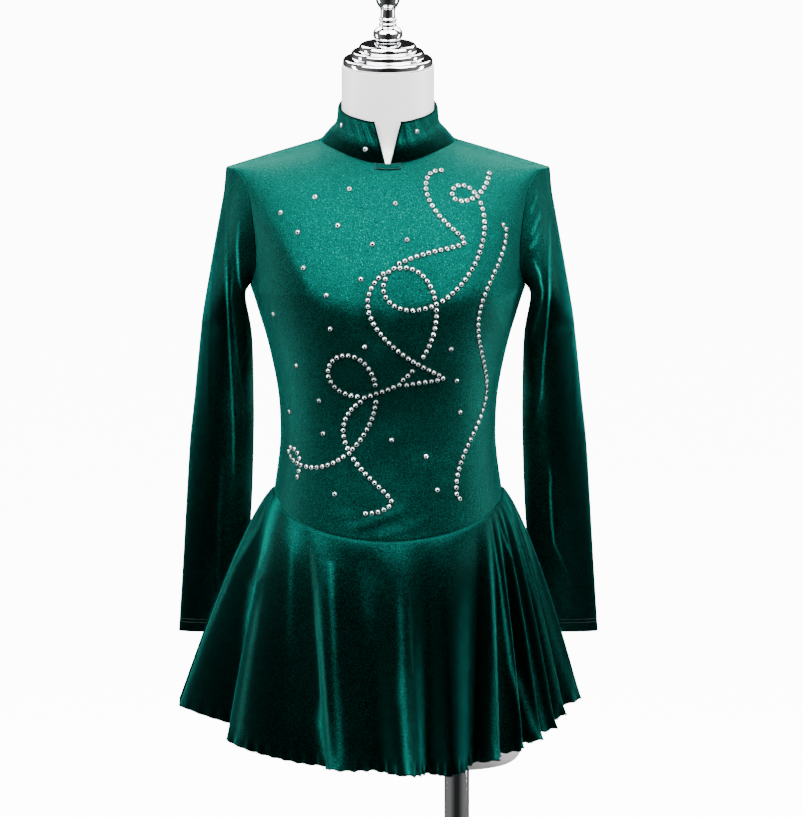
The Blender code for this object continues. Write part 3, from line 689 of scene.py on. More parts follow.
# On the front the pile's lean paints a highlight above this line, across and up, and paints shade below it
# and beside the left armhole. The change takes PAINTED_HIGHLIGHT_FADE. The leans are by height, and all of
# them paint light and shade into the colour
PAINTED_HIGHLIGHT_LINE = ((-168, 1378), (-150, 1350), (-122, 1316), (-107, 1290), (-92, 1263), (-74, 1248), (-40, 1243),
               (0, 1240), (38, 1243), (80, 1252), (112, 1262), (126, 1240), (138, 1206), (170, 1190))
FRONT_LEAN_AND_PAINTED_LIGHT = ((965, 0.04), (1005, 0.02), (1045, 0.04), (1085, 0.13), (1130, 0.22), (1180, 0.17), (1225, 0.04),
              (1280, -0.06))
PAINTED_HIGHLIGHT_LEAN = ((1240, 0.38), (1290, 0.42), (1340, 0.34), (1400, 0.24))
BACK_LEAN_AND_PAINTED_LIGHT = ((1000, 0.02), (1120, 0.2), (1220, 0.2), (1300, 0.08), (1400, -0.02))
PAINTED_HIGHLIGHT_FADE = 34
MIDDLE_LEAN_AND_PAINTED_LIGHT, MIDDLE_HALF_WIDTH = 0.07, 60


def straight(rows, at):
    """Value at a place in rows of place and value, with straight lines between them."""
    return np.interp(at, *np.array(rows).T)


def bodice_lean_and_painted_light(points, back):
    """How far the pile stands up, at each point of a bodice piece; this paints light and shade into its
    colour.
    """
    x, z = points[..., 0], points[..., 2]
    if back:
        return straight(BACK_LEAN_AND_PAINTED_LIGHT, z)
    share = np.clip((z - straight(PAINTED_HIGHLIGHT_LINE, x)) / PAINTED_HIGHLIGHT_FADE + 0.62, 0, 1)
    painted_highlight = straight(PAINTED_HIGHLIGHT_LEAN, z) * share * share * (3 - 2 * share)
    # The middle of the front has painted light at the waist and painted shade at the top of the chest
    by_height = np.clip((1250 - z) / 30, 0, 1) - np.clip((z - 1330) / 40, 0, 1)
    middle = MIDDLE_LEAN_AND_PAINTED_LIGHT * np.exp(-(x / MIDDLE_HALF_WIDTH) ** 2) * by_height
    return straight(FRONT_LEAN_AND_PAINTED_LIGHT, z) + middle + painted_highlight


def bodice_panel(name, s, back, drag_lines):
    """One piece of the bodice, with rows up to the underarm and then up to the shoulder."""
    v = np.concatenate([spread(58, 0.03, 0, 1)[:-1], 1 + spread(56, 0.03, 0, 1)[5:]])
    s, v = s[None, :], v[:, None]
    points = body(s, v, back)
    normals = body_normals(s, v, back)
    points = points + normals * seam_roll(points, depth=0.75, width=2.6)[..., None]
    lines = strokes(points[..., 0], points[..., 2], drag_lines)
    # The drag lines also paint highlights on their ridges and shade in their troughs, through the lean
    lean = bodice_lean_and_painted_light(points, back) + 0.12 * lines
    return cloth(name, points + normals * lines[..., None], lean, flip=back)


front = bodice_panel("velvet_bodice_front", spread(120, 0.03, -1, 1), False, FRONT_DRAG_LINES)
back_left = bodice_panel("velvet_bodice_back_left", spread(60, 0.05, -1, 0), True, BACK_DRAG_LINES)
back_right = bodice_panel("velvet_bodice_back_right", spread(60, 0.05, 0, 1), True, BACK_DRAG_LINES)
wear(front, "bodice_front")
wear(back_left, "bodice_back_left")
wear(back_right, "bodice_back_right")

# Stand collar: two short bands of the same velvet, folded over at the top edge and sewn to the neck seam.
# They meet at the centre back and leave a narrow notch at the centre front.
COLLAR_PROFILE = ((0.0, 0.0), (0.2, 0.36), (0.38, 0.76), (0.58, 0.95), (0.82, 1.0), (1.0, 1.03))
NOTCH_HALF_BOTTOM, NOTCH_HALF_TOP, NOTCH_REACH = 2.9, 15.4, 46.0
# The collar's lean by share of its height paints shade on its lower part and light on its upper part;
# COLLAR_LEAN_LIMIT caps that light
COLLAR_LEAN_AND_PAINTED_LIGHT = ((0.26, -0.62), (0.5, 0.2))
COLLAR_LEAN_LIMIT, COLLAR_THICKNESS = 0.42, 1.5


def tucked_under(points, normals, lean, reach, sink):
    """The grid and its lean with a first row that goes on under the edge to which this one is sewn."""
    row = points[:1] - unit(points[1:2] - points[:1]) * reach - normals[:1] * sink
    return np.concatenate([row, points]), np.concatenate([lean[:1], lean])


def collar_band(name, side):
    """One half of the collar, from the centre back to the notch."""
    neck = neck_share()
    s = np.linspace(0, neck, 45) * side
    feet = np.concatenate([body(s, 2.0), body(s, 2.0, True)[::-1][1:]])
    tops = collar_top(np.arctan2(feet[:, 0], -feet[:, 1]))
    profile = smooth_profile(COLLAR_PROFILE, 34)
    points = np.array(collar_rows(feet, tops, profile))
    # The front end is cut to the notch's straight edge, and the cloth behind it draws up to that edge
    run = lengths(feet[None], 1)[0]
    edge = np.array([NOTCH_HALF_BOTTOM + (NOTCH_HALF_TOP - NOTCH_HALF_BOTTOM) * rise for rise, _ in profile])
    points[..., 0] += side * edge[:, None] * np.clip(1 - run / NOTCH_REACH, 0, 1) ** 1.5
    normals = grid_normals(points) * side
    folded = seam_roll(points, depth=1.3, width=3.2, rows=(False, True))
    # Slanted streaks of painted light and shade, through the pile's lean, which show on the upper half
    rise = np.linspace(0, 1, len(profile))[:, None]
    slant = run + 26 * side * rise
    slanted_painted_light = 0.16 * np.sin(0.31 * slant + 1) + 0.13 * np.sin(0.83 * slant + 2.2) + 0.1 * np.sin(1.9 * slant)
    lean = straight(COLLAR_LEAN_AND_PAINTED_LIGHT, rise) + slanted_painted_light * np.clip(rise * 2.4 - 0.6, 0, 1)
    # The folded edges get painted shade: their lean is pushed down, which darkens their colour
    lean = np.minimum(lean, COLLAR_LEAN_LIMIT) - 1.1 * np.clip(-folded / 0.5, 0, 1)
    points = points + normals * folded[..., None]
    points, lean = tucked_under(points, normals, lean, reach=1.4, sink=0.4)
    return cloth(name, points, lean, flip=side < 0, thickness=COLLAR_THICKNESS)


for label, side in (("left", -1), ("right", 1)):
    band = collar_band(f"velvet_collar_{label}", side)
    wear(band, f"collar_{label}")

# Notch stay: a narrow strip of velvet laid on under the notch, so that the neck edge can't tear there. It is
# stitched down all round with green polyester thread.
STAY_HALF_WIDTH, STAY_DEPTH, STAY_THICKNESS, STAY_LEAN = 15.5, 10.2, 0.8, -0.3
# Height of its face above the bodice's
STAY_LIFT = 0.9


def on_front(x, z):
    """Points and normals of the bodice front at places across and up from the floor."""
    x, z = np.asarray(x, float), np.asarray(z, float)
    s, v, step = x / 150, np.clip((z - 1000) / 250, 0.02, 1.9), 0.002
    for _ in range(40):
        here = body(s, v)
        across, up = (body(s + step, v) - here) / step, (body(s, v + step) - here) / step
        miss_x, miss_z = x - here[..., 0], z - here[..., 2]
        size = across[..., 0] * up[..., 2] - across[..., 2] * up[..., 0]
        s = np.clip(s + 0.6 * (miss_x * up[..., 2] - miss_z * up[..., 0]) / size, -0.985, 0.985)
        v = np.clip(v + 0.6 * (across[..., 0] * miss_z - across[..., 2] * miss_x) / size, 0.01, 1.99)
    return body(s, v), body_normals(s, v, False)


near_middle = np.linspace(0, 0.2, 50)
stay_s = np.interp(STAY_HALF_WIDTH, body(near_middle, 2.0)[:, 0], near_middle) * np.linspace(-1, 1, 33)
neck_edge, below = body(stay_s, 2.0), body(stay_s, 1.9)
step_down = STAY_DEPTH * 0.1 / np.linalg.norm(neck_edge - below, axis=1).mean()
stay_v = np.linspace(2.0 - step_down, 1.995, 12)[:, None]
stay_normals = body_normals(stay_s[None, :], stay_v, False)
stay_points = body(stay_s[None, :], stay_v) + stay_normals * STAY_LIFT
stay_roll = seam_roll(stay_points, depth=0.55, width=1.6)[..., None]
stay = cloth("velvet_notch_stay", stay_points + stay_normals * stay_roll, STAY_LEAN, thickness=STAY_THICKNESS)
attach(stay, "root")


def group(name, sizes):
    """Geometry Nodes tree with one geometry in and out and named inputs for its sizes."""
    tree = bpy.data.node_groups.new(name, "GeometryNodeTree")
    tree.interface.new_socket("Lines", in_out="INPUT", socket_type="NodeSocketGeometry")
    for label, value in sizes.items():
        kind = "NodeSocketInt" if isinstance(value, int) else "NodeSocketFloat"
        tree.interface.new_socket(label, in_out="INPUT", socket_type=kind).default_value = value
    tree.interface.new_socket("Made", in_out="OUTPUT", socket_type="NodeSocketGeometry")
    return tree, add(tree, "NodeGroupInput").outputs


def run_group(name, tree, points, edges, attributes, sizes=None):
    """Plain mesh object made by a tree from lines in millimetres and their vector or yes-no attributes."""
    points = np.asarray(points, float) * 0.001 + (DRESS_CENTRE_X, 0, 0)
    lines = bpy.data.meshes.new(name + "_lines")
    lines.from_pydata(points.tolist(), edges, [])
    for label, values in attributes.items():
        values = np.asarray(values)
        flag = values.dtype == bool
        layer = lines.attributes.new(label, "BOOLEAN" if flag else "FLOAT_VECTOR", "POINT")
        layer.data.foreach_set("value" if flag else "vector", values.reshape(-1))
    piece = bpy.data.objects.new(name, lines)
    bpy.context.scene.collection.objects.link(piece)
    modifier = piece.modifiers.new(name, "NODES")
    modifier.node_group = tree
    for item in tree.interface.items_tree:
        if item.in_out == "INPUT" and item.name in (sizes or {}):
            modifier[item.identifier] = sizes[item.name]
    bpy.context.view_layer.update()
    made = bpy.data.meshes.new_from_object(piece.evaluated_get(bpy.context.evaluated_depsgraph_get()))
    piece.modifiers.remove(modifier)
    piece.data = made
    return piece


# Polyester sewing thread has two plies twisted together, with a soft gloss. A ply is finer than shown.
def thread(name, dark, light):
    material, tree, shader = new_material(name)
    place = add(tree, "ShaderNodeTexCoord").outputs["Object"]
    plies = add(tree, "ShaderNodeTexWave", {"Vector": place, "Scale": 900.0, "Distortion": 2.0},
                bands_direction="DIAGONAL")
    tone = add(tree, "ShaderNodeValToRGB", {"Fac": plies.outputs["Fac"]})
    tone.color_ramp.elements[0].color = linear(dark)
    tone.color_ramp.elements[1].color = linear(light)
    tree.links.new(tone.outputs["Color"], shader.inputs["Base Color"])
    shader.inputs["Roughness"].default_value = 0.5
    return material


green_thread = thread("green polyester thread", "#021A16", "#07352F")


def stitch_tree(name, material, sizes):
    """Short bent stitches at even steps along lines. Each is an arc that lies square to the line's own
    "axis", bulges away from its "open" side and is let down by Sink."""
    tree, given = group(name, sizes)
    line = add(tree, "GeometryNodeMeshToCurve", {"Mesh": given["Lines"]})
    even = add(tree, "GeometryNodeResampleCurve", {"Curve": line.outputs["Curve"], "Length": given["Pitch"]},
               mode="LENGTH")
    places = add(tree, "GeometryNodeCurveToPoints", {"Curve": even.outputs["Curve"]}, mode="EVALUATED")
    axis = add(tree, "GeometryNodeInputNamedAttribute", {"Name": "axis"}, data_type="FLOAT_VECTOR")
    open_side = add(tree, "GeometryNodeInputNamedAttribute", {"Name": "open"}, data_type="FLOAT_VECTOR")
    down = add(tree, "ShaderNodeVectorMath", {0: open_side.outputs["Attribute"], "Scale": given["Sink"]},
               operation="SCALE")
    sunk = add(tree, "GeometryNodeSetPosition", {"Geometry": places.outputs["Points"],
                                                 "Offset": down.outputs["Vector"]})
    half = add(tree, "ShaderNodeMath", {0: given["Sweep"], 1: -0.5, 2: 1.5 * math.pi},
               operation="MULTIPLY_ADD")
    arc = add(tree, "GeometryNodeCurveArc", {"Resolution": 7, "Radius": given["Loop radius"],
              "Start Angle": half.outputs["Value"], "Sweep Angle": given["Sweep"]})
    ply = add(tree, "GeometryNodeCurvePrimitiveCircle", {"Resolution": 4, "Radius": given["Thread radius"]})
    stitch = add(tree, "GeometryNodeCurveToMesh", {"Curve": arc.outputs["Curve"],
                                                   "Profile Curve": ply.outputs["Curve"], "Fill Caps": True})
    square = add(tree, "FunctionNodeAlignRotationToVector", {"Vector": axis.outputs["Attribute"]}, axis="Z")
    turned_open = add(tree, "FunctionNodeAlignRotationToVector", {"Rotation": square.outputs["Rotation"],
                      "Vector": open_side.outputs["Attribute"]}, axis="Y", pivot_axis="Z")
    sewn = add(tree, "GeometryNodeInstanceOnPoints", {"Points": sunk.outputs["Geometry"],
               "Instance": stitch.outputs["Mesh"], "Rotation": turned_open.outputs["Rotation"]})
    real = add(tree, "GeometryNodeRealizeInstances", {"Geometry": sewn.outputs["Instances"]})
    finished = add(tree, "GeometryNodeSetMaterial",
                   {"Geometry": real.outputs["Geometry"], "Material": material})
    add(tree, "NodeGroupOutput", {"Made": finished.outputs["Geometry"]})
    return tree


# Topstitch: 2.6 mm stitches, 3.2 mm apart, each a low arc that rises out of the cloth
top_stitch = stitch_tree("topstitch", green_thread, {"Pitch": 0.0032, "Loop radius": 0.0026, "Sweep": 1.05,
                                                     "Sink": 0.00205, "Thread radius": 0.00028})


def topstitch(name, lines):
    """Topstitching along lines of points and normals in millimetres."""
    points, edges, axis, open_side = [], [], [], []
    for line, normals in lines:
        edges += [(len(points) + k, len(points) + k + 1) for k in range(len(line) - 1)]
        points += list(line)
        open_side += list(-normals)
        axis += list(unit(np.cross(np.gradient(line, axis=0), normals)))
    piece = run_group(name, top_stitch, points, edges, {"axis": axis, "open": open_side})
    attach(piece, "root")


def ring_inside(grid):
    """Second place from the edge, all round a grid."""
    return np.concatenate([grid[1, 1:-1], grid[1:-1, -2], grid[-2, 1:-1][::-1], grid[1:-1, 1][::-1]])


topstitch("thread_notch_stay", [(ring_inside(stay_points - stay_normals * 0.1), ring_inside(stay_normals))])

# Rhinestones: flat-backed cut glass stones with foil behind, 5.2 mm across in a rim of 6.8 mm that is dark
# painted shadow, glued on in rows that swing and loop over the front, and singly between the rows and on the
# collar.
STONE_RADIUS, STONE_PITCH = 0.0026, 0.0073
# Rows: start, end, number of swings, swing to the side, roll along, and where the swing starts
ROWS = (
    ((118, 1388), (-106, 1030), 3.5, 44, 52, 1.2),
    ((62, 1394), (-26, 994), 2.5, 54, -20, 3.6),
    ((134, 1330), (84, 1008), 1.5, 13, 0, 0.2),
)
LONE_STONES, CLEAR_OF_ROWS, CLEAR_OF_STONES = 25, 15, 27
COLLAR_STONES = ((-26, 1417), (-54, 1441), (34, 1437))


def stone_row(start, end, swings, swing, roll, begin):
    """Line of a row, across from the centre line and up from the floor."""
    u = np.linspace(0, 1, 420)
    start, run = np.array(start, float), np.subtract(end, start).astype(float)
    along = run / np.linalg.norm(run)
    turn, swell = 2 * math.pi * swings * u + begin, np.sin(math.pi * u)[:, None] ** 0.35
    sideways = np.outer(np.cos(turn), (-along[1], along[0])) * swing
    return start + np.outer(u, run) + (sideways + np.outer(np.sin(turn), along) * roll) * swell


def lone_stones(rows, count):
    """Evenly scattered places on the front, away from the rows and from each other."""
    found, k = [], 0
    while len(found) < count:
        k += 1
        # The digits of k in base 2 and in base 3, reversed after the point, spread evenly from 0 to 1
        parts = [sum((k // b ** n % b) / b ** (n + 1) for n in range(12)) for b in (2, 3)]
        x, z = -142 + 284 * parts[0], 985 + 405 * parts[1]
        half_width = np.interp(z, (985, 1060, 1250, 1330, 1400), (100, 112, 142, 132, 120))
        floor_height = 978 + 34 * (x / 110) ** 2
        clear = min(np.hypot(*(rows - (x, z)).T).min(), 99)
        apart = min([math.hypot(x - a, z - b) for a, b in found] or [99])
        if abs(x) < half_width and z > floor_height and clear > CLEAR_OF_ROWS and apart > CLEAR_OF_STONES:
            found.append((x, z))
    return np.array(found)


# Cut glass on foil throws the light back from its slanted facets, which look white, while its flat table is
# coloured dark grey as a painted reflection of the dark room. Glue and handling leave faint marks. The rim is
# painted shadow round the stone, near black with a faint mottle.
def cut_glass(name, colour, metallic):
    material, tree, shader = new_material(name)
    place = add(tree, "ShaderNodeTexCoord").outputs["Object"]
    marks = add(tree, "ShaderNodeTexNoise", {"Vector": place, "Scale": 240.0, "Detail": 2.0})
    gloss = add(tree, "ShaderNodeMapRange", {"Value": marks.outputs["Fac"], "To Min": 0.04, "To Max": 0.2})
    tree.links.new(gloss.outputs["Result"], shader.inputs["Roughness"])
    shader.inputs["Base Color"].default_value = linear(colour)
    shader.inputs["Metallic"].default_value = metallic
    return material


crystal = cut_glass("foil-backed cut glass", "#EDF7F8", 0.45)
table_with_painted_reflection = cut_glass("flat table of the glass", "#23292A", 1.0)
# Painted shadow round each stone
painted_shadow_rim, tree, shader = new_material("dark rim of painted shadow")
place = add(tree, "ShaderNodeTexCoord").outputs["Object"]
painted_shadow_mottle = add(tree, "ShaderNodeTexNoise", {"Vector": place, "Scale": 300.0, "Detail": 2.0})
tone = add(tree, "ShaderNodeValToRGB", {"Fac": painted_shadow_mottle.outputs["Fac"]})
tone.color_ramp.elements[0].color = linear("#05090A")
tone.color_ramp.elements[1].color = linear("#1C2424")
tree.links.new(tone.outputs["Color"], shader.inputs["Base Color"])
shader.inputs["Roughness"].default_value = 0.45

# Stones stand at even steps along the rows and at the single places. Where rows cross, stones closer than
# Apart become one. Each stone is a cut crown in a low rim, turned and tipped a little at random.
tree, given = group("set_stones", {"Pitch": STONE_PITCH, "Radius": STONE_RADIUS, "Apart": 0.0047, "Seed": 7})
single = add(tree, "GeometryNodeInputNamedAttribute", {"Name": "single"}, data_type="BOOLEAN")
in_rows = add(tree, "FunctionNodeBooleanMath", {0: single.outputs["Attribute"]}, operation="NOT")
rows_made = add(tree, "GeometryNodeMeshToCurve",
                {"Mesh": given["Lines"], "Selection": in_rows.outputs["Boolean"]})
even = add(tree, "GeometryNodeResampleCurve", {"Curve": rows_made.outputs["Curve"], "Length": given["Pitch"]},
           mode="LENGTH")
row_places = add(tree, "GeometryNodeCurveToPoints", {"Curve": even.outputs["Curve"]}, mode="EVALUATED")
lone_places = add(tree, "GeometryNodeMeshToPoints",
                  {"Mesh": given["Lines"], "Selection": single.outputs["Attribute"]})
places = add(tree, "GeometryNodeJoinGeometry", {"Geometry": row_places.outputs["Points"]})
tree.links.new(lone_places.outputs["Points"], places.inputs["Geometry"])
spaced = add(tree, "GeometryNodeMergeByDistance",
             {"Geometry": places.outputs["Geometry"], "Distance": given["Apart"]})


def share_of_radius(share):
    return add(tree, "ShaderNodeMath", {0: given["Radius"], 1: share}, operation="MULTIPLY").outputs["Value"]


crown = add(tree, "GeometryNodeMeshCone", {"Vertices": 8, "Radius Top": share_of_radius(0.54),
            "Radius Bottom": share_of_radius(1.0), "Depth": share_of_radius(0.34)})
lift_up = add(tree, "ShaderNodeCombineXYZ", {"Z": share_of_radius(0.24)})
flat_top = add(tree, "GeometryNodeStoreNamedAttribute", {"Geometry": crown.outputs["Mesh"], "Name": "table",
               "Selection": crown.outputs["Top"], "Value": True}, data_type="BOOLEAN", domain="FACE")
raised = add(tree, "GeometryNodeTransform", {"Geometry": flat_top.outputs["Geometry"],
                                             "Translation": lift_up.outputs["Vector"]})
rim = add(tree, "GeometryNodeMeshCone", {"Vertices": 14, "Radius Top": share_of_radius(1.06),
          "Radius Bottom": share_of_radius(1.3), "Depth": share_of_radius(0.28)})
marked = add(tree, "GeometryNodeStoreNamedAttribute",
             {"Geometry": rim.outputs["Mesh"], "Name": "edge", "Value": True},
             data_type="BOOLEAN", domain="FACE")
stone = add(tree, "GeometryNodeJoinGeometry", {"Geometry": raised.outputs["Geometry"]})
tree.links.new(marked.outputs["Geometry"], stone.inputs["Geometry"])
away = add(tree, "GeometryNodeInputNamedAttribute", {"Name": "away"}, data_type="FLOAT_VECTOR")
square_on = add(tree, "FunctionNodeAlignRotationToVector", {"Vector": away.outputs["Attribute"]}, axis="Z")
any_turn = add(tree, "FunctionNodeRandomValue", {"Min": (-0.09, -0.09, 0.0), "Max": (0.09, 0.09, 0.78),
                                                 "Seed": given["Seed"]}, data_type="FLOAT_VECTOR")
spun = add(tree, "FunctionNodeRotateRotation", {"Rotation": square_on.outputs["Rotation"],
           "Rotate By": any_turn.outputs["Value"]}, rotation_space="LOCAL")
set_stones = add(tree, "GeometryNodeInstanceOnPoints", {"Points": spaced.outputs["Geometry"],
                 "Instance": stone.outputs["Geometry"], "Rotation": spun.outputs["Rotation"]})
real = add(tree, "GeometryNodeRealizeInstances", {"Geometry": set_stones.outputs["Instances"]})
glazed = add(tree, "GeometryNodeSetMaterial", {"Geometry": real.outputs["Geometry"], "Material": crystal})
# The rim faces get the painted shadow, and the table faces the painted reflection
edge = add(tree, "GeometryNodeInputNamedAttribute", {"Name": "edge"}, data_type="BOOLEAN")
rimmed = add(tree, "GeometryNodeSetMaterial", {"Geometry": glazed.outputs["Geometry"], "Material": painted_shadow_rim,
                                               "Selection": edge.outputs["Attribute"]})
table_face = add(tree, "GeometryNodeInputNamedAttribute", {"Name": "table"}, data_type="BOOLEAN")
finished = add(tree, "GeometryNodeSetMaterial", {"Geometry": rimmed.outputs["Geometry"],
               "Material": table_with_painted_reflection, "Selection": table_face.outputs["Attribute"]})
add(tree, "NodeGroupOutput", {"Made": finished.outputs["Geometry"]})
stones_tree = tree

rows = [stone_row(*row) for row in ROWS]
flat_rows = np.concatenate(rows)
lone = lone_stones(flat_rows, LONE_STONES)
stone_points, stone_away = on_front(*np.concatenate([flat_rows, lone]).T)
stone_edges = [(k, k + 1) for k in range(len(flat_rows) - 1) if (k + 1) % len(rows[0])]
# A collar stone stands on the nearest point of the band's front
for x, z in COLLAR_STONES:
    band = bpy.data.objects["velvet_collar_left" if x < 0 else "velvet_collar_right"].data
    spots = np.array([tuple(v.co) for v in band.vertices]) * 1000 - (DRESS_CENTRE_X * 1000, 0, 0)
    facing = np.array([v.normal.y < -0.1 and v.normal.x * x > 0 for v in band.vertices])
    nearest = np.where(facing, np.hypot(spots[:, 0] - x, spots[:, 2] - z), 1e6).argmin()
    stone_points = np.vstack([stone_points, spots[nearest]])
    stone_away = np.vstack([stone_away, tuple(band.vertices[int(nearest)].normal)])
single_flags = np.arange(len(stone_points)) >= len(flat_rows)
stones = run_group("glass_rhinestones", stones_tree, stone_points, stone_edges,
                   {"away": stone_away, "single": single_flags})
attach(stones, "root")

# Sleeves: long and set in, each cut in one piece with an underarm seam. They are empty, so they hang flat
# from the armhole, back past the hips, with a few long creases, and the cuff has a twin-needle hem.
# Sleeve sections: height, inner edge, outer edge, depth behind the centre, half thickness
SLEEVE = (
    (1233, 167.5, 215, 9, 49),
    (1182, 160.5, 222, 28, 44),
    (1098, 159.5, 231, 62, 34),
    (1045, 160.5, 237, 82, 27),
    (969, 163.5, 242.5, 105, 19),
    (884, 169, 248, 118, 13),
    (803, 173, 253.5, 123, 9),
)
# Rows of points down to each of these sections, from the armhole, and points round the sleeve
SLEEVE_ROWS = (34, 20, 30, 20, 28, 30, 34)
SLEEVE_COLUMNS = 168
SHOULDER_STAND_OFF, UNDERARM_LIFT, SEAM_GAP = 3.2, 1.2, 0.3
# The start of the sleeve that is moved off the bodice, as a share of the way to the first section
STAND_OFF_REACH = 0.25
# Where the two halves' pile and painted shade change, by height, and the heights of the two rows of stitches
# above the edge
PILE_AND_PAINTED_SHADE_CHANGE = ((803, 213), (1233, 191))
CUFF_STITCHES = (12.0, 16.0)


def between(controls, k, f):
    """Smooth curve from control k to the next one."""
    a, b, c, d = (controls[min(max(n, 0), len(controls) - 1)] for n in (k - 1, k, k + 1, k + 2))
    return (2 * b + (c - a) * f + (2 * a - 5 * b + 4 * c - d) * f ** 2 + (3 * b - a - 3 * c + d) * f ** 3) / 2


def sleeve(name, side, creases):
    """Sleeve from armhole seam to cuff. Gives the piece, and its skin and normals without the tuck."""
    f = np.arange(SLEEVE_COLUMNS) / SLEEVE_COLUMNS
    v = np.where(f <= 0.5, 1 + 2 * f, 3 - 2 * f)
    on_back = f > 0.5
    ring = np.where(on_back[:, None], body(side, v, True), body(side, v))
    inner = np.where(on_back[:, None], body(side * 0.98, v, True), body(side * 0.98, v))
    away = unit(ring - inner)
    steady = np.where(on_back[:, None], body_normals(side, v, True), body_normals(side, v, False))
    controls = [ring]
    for height, near, far, depth, half in SLEEVE:
        x = side * ((near + far) / 2 - (far - near) / 2 * np.cos(2 * math.pi * f))
        controls.append(vectors(x, depth - half * np.sin(2 * math.pi * f), height))
    rows = []
    for k, count in enumerate(SLEEVE_ROWS):
        places = spread(count, 0.06)[:-1] if k == 0 else np.arange(count) / count
        if k == len(SLEEVE) - 1:
            places = 1 - (1 - places) ** 1.5
        rows += [(k, step, between(controls, k, step)) for step in places]
    rows += [(len(SLEEVE), 0.0, controls[-1])]
    points = np.array([row for _, _, row in rows])
    normals = grid_normals(points, True) * (1 if side < 0 else -1)
    stand_off = np.maximum(0, SHOULDER_STAND_OFF * (normals[0] * away).sum(axis=-1))
    start = unit(between(controls, 0, STAND_OFF_REACH) - ring)
    fold_back = np.maximum(0, -(start * away).sum(axis=-1))
    shift = away * (SEAM_GAP / 2 + stand_off)[:, None] + steady * (UNDERARM_LIFT * fold_back)[:, None]
    for i, (k, step, _) in enumerate(rows):
        if k == 0 and step < STAND_OFF_REACH:
            points[i] += shift * (1 - step / STAND_OFF_REACH)
    roll = seam_roll(points, depth=0.7, width=2.4, rows=(True, False), columns=(False, False))
    front_side = np.clip(-normals[..., 1] * 3, 0, 1)
    back_side = np.clip(normals[..., 1] * 3, 0, 1)
    x, z = points[..., 0] * side, points[..., 2]
    height = strokes(x, z, creases["front"]) * front_side + strokes(x, z, creases["back"]) * back_side
    # Stitches draw the cuff in
    for rise in CUFF_STITCHES:
        roll -= 0.35 * np.exp(-((z - SLEEVE[-1][0] - rise) / 1.2) ** 2)
    # The outer half gets painted shade and the half next to the body painted light, through their pile's
    # lean, and the creases' ridges get painted highlights
    inner_share = np.interp(x - straight(PILE_AND_PAINTED_SHADE_CHANGE, z), (-14, 18), (1.0, 0.0))
    outer_lean_and_painted_shade, inner_lean_and_painted_light = (np.interp(z, LEAN_HEIGHTS, creases[half]) for half in ("outer", "inner"))
    lean = outer_lean_and_painted_shade + (inner_lean_and_painted_light - outer_lean_and_painted_shade) * inner_share + 0.85 * np.maximum(height, 0)
    points = points + normals * (roll + height)[..., None]
    whole, whole_lean_and_painted_light = tucked_under(points, normals, lean, reach=1.2, sink=0.3)
    return cloth(name, whole, whole_lean_and_painted_light, wrap=True, flip=side > 0), points, normals


# Creases: height, half width, and points across the sleeve from the dress's centre and up from the floor;
# then the lean of the pile on the two halves at these heights, which paints light and shade into their colour
LEAN_HEIGHTS = (800, 1000, 1110, 1200, 1310, 1365)
LEFT_CREASES = {
    "front": (
        (1.2, 1.2, ((186, 1372), (188, 1322), (189, 1284), (187, 1204), (184, 1120), (183, 1060),
                    (185, 980))),
        (1.0, 1.2, ((173, 1346), (176, 1300), (174, 1262), (167, 1222), (166, 1176), (176, 1132))),
        (0.7, 1.2, ((180, 1290), (183, 1240), (178, 1180), (172, 1110), (171, 1030))),
        (0.5, 2.6, ((206, 1300), (208, 1230), (212, 1150), (214, 1060))),
        (0.45, 2.6, ((196, 1040), (202, 960), (205, 880), (204, 830))),
    ),
    "back": (
        (0.9, 1.8, ((186, 1340), (192, 1280), (190, 1200), (196, 1110))),
        (0.5, 2.6, ((206, 1180), (214, 1080), (210, 980))),
        (0.45, 2.6, ((188, 1000), (200, 930), (206, 850))),
    ),
    "outer": (-0.7, -0.6, -0.7, -0.95, -0.85, -0.2),
    "inner": (-0.4, 0.45, 0.8, 0.42, -0.2, -0.05),
}
RIGHT_CREASES = {
    "front": (
        (1.2, 1.5, ((188, 1358), (189, 1320), (189, 1246), (187, 1208), (183, 1158), (181, 1112), (177, 1090),
                    (174, 1066))),
        (0.9, 1.5, ((168, 1290), (177, 1268), (181, 1246), (179, 1226), (171, 1194), (168, 1172))),
        (0.7, 1.4, ((166, 1312), (174, 1326), (181, 1346))),
        (0.6, 1.4, ((163, 1296), (171, 1304), (180, 1324))),
        (0.6, 1.4, ((165, 1336), (172, 1350), (176, 1366))),
        (1.0, 1.5, ((190, 1030), (194, 1002), (194, 980), (196, 944), (199, 916), (211, 888), (223, 866),
                    (228, 850))),
        (0.45, 2.6, ((212, 1300), (216, 1220), (222, 1130), (224, 1050))),
    ),
    "back": (
        (0.9, 1.8, ((184, 1340), (188, 1270), (194, 1190), (192, 1100))),
        (0.5, 2.6, ((210, 1160), (216, 1070), (222, 980))),
        (0.45, 2.6, ((186, 990), (194, 920), (208, 846))),
    ),
    "outer": (-0.65, -0.6, -0.7, -0.95, -0.75, -0.2),
    "inner": (-0.4, 0.3, 0.7, 0.35, 0.02, -0.05),
}
for label, side, creases in (("left", -1, LEFT_CREASES), ("right", 1, RIGHT_CREASES)):
    arm, skin, out = sleeve(f"velvet_sleeve_{label}", side, creases)
    wear(arm, f"sleeve_{label}")
    # Twin-needle hem: two rows of stitches round the cuff
    seams = []
    row_heights = (skin[:, :, 2] - SLEEVE[-1][0]).mean(axis=1)
    round_cuff = np.append(np.arange(SLEEVE_COLUMNS), 0)
    for rise in CUFF_STITCHES:
        k = np.argmin(np.abs(row_heights - rise))
        seams.append((skin[k, round_cuff] + out[k, round_cuff] * 0.12, out[k, round_cuff]))
    topstitch(f"thread_cuff_{label}", seams)

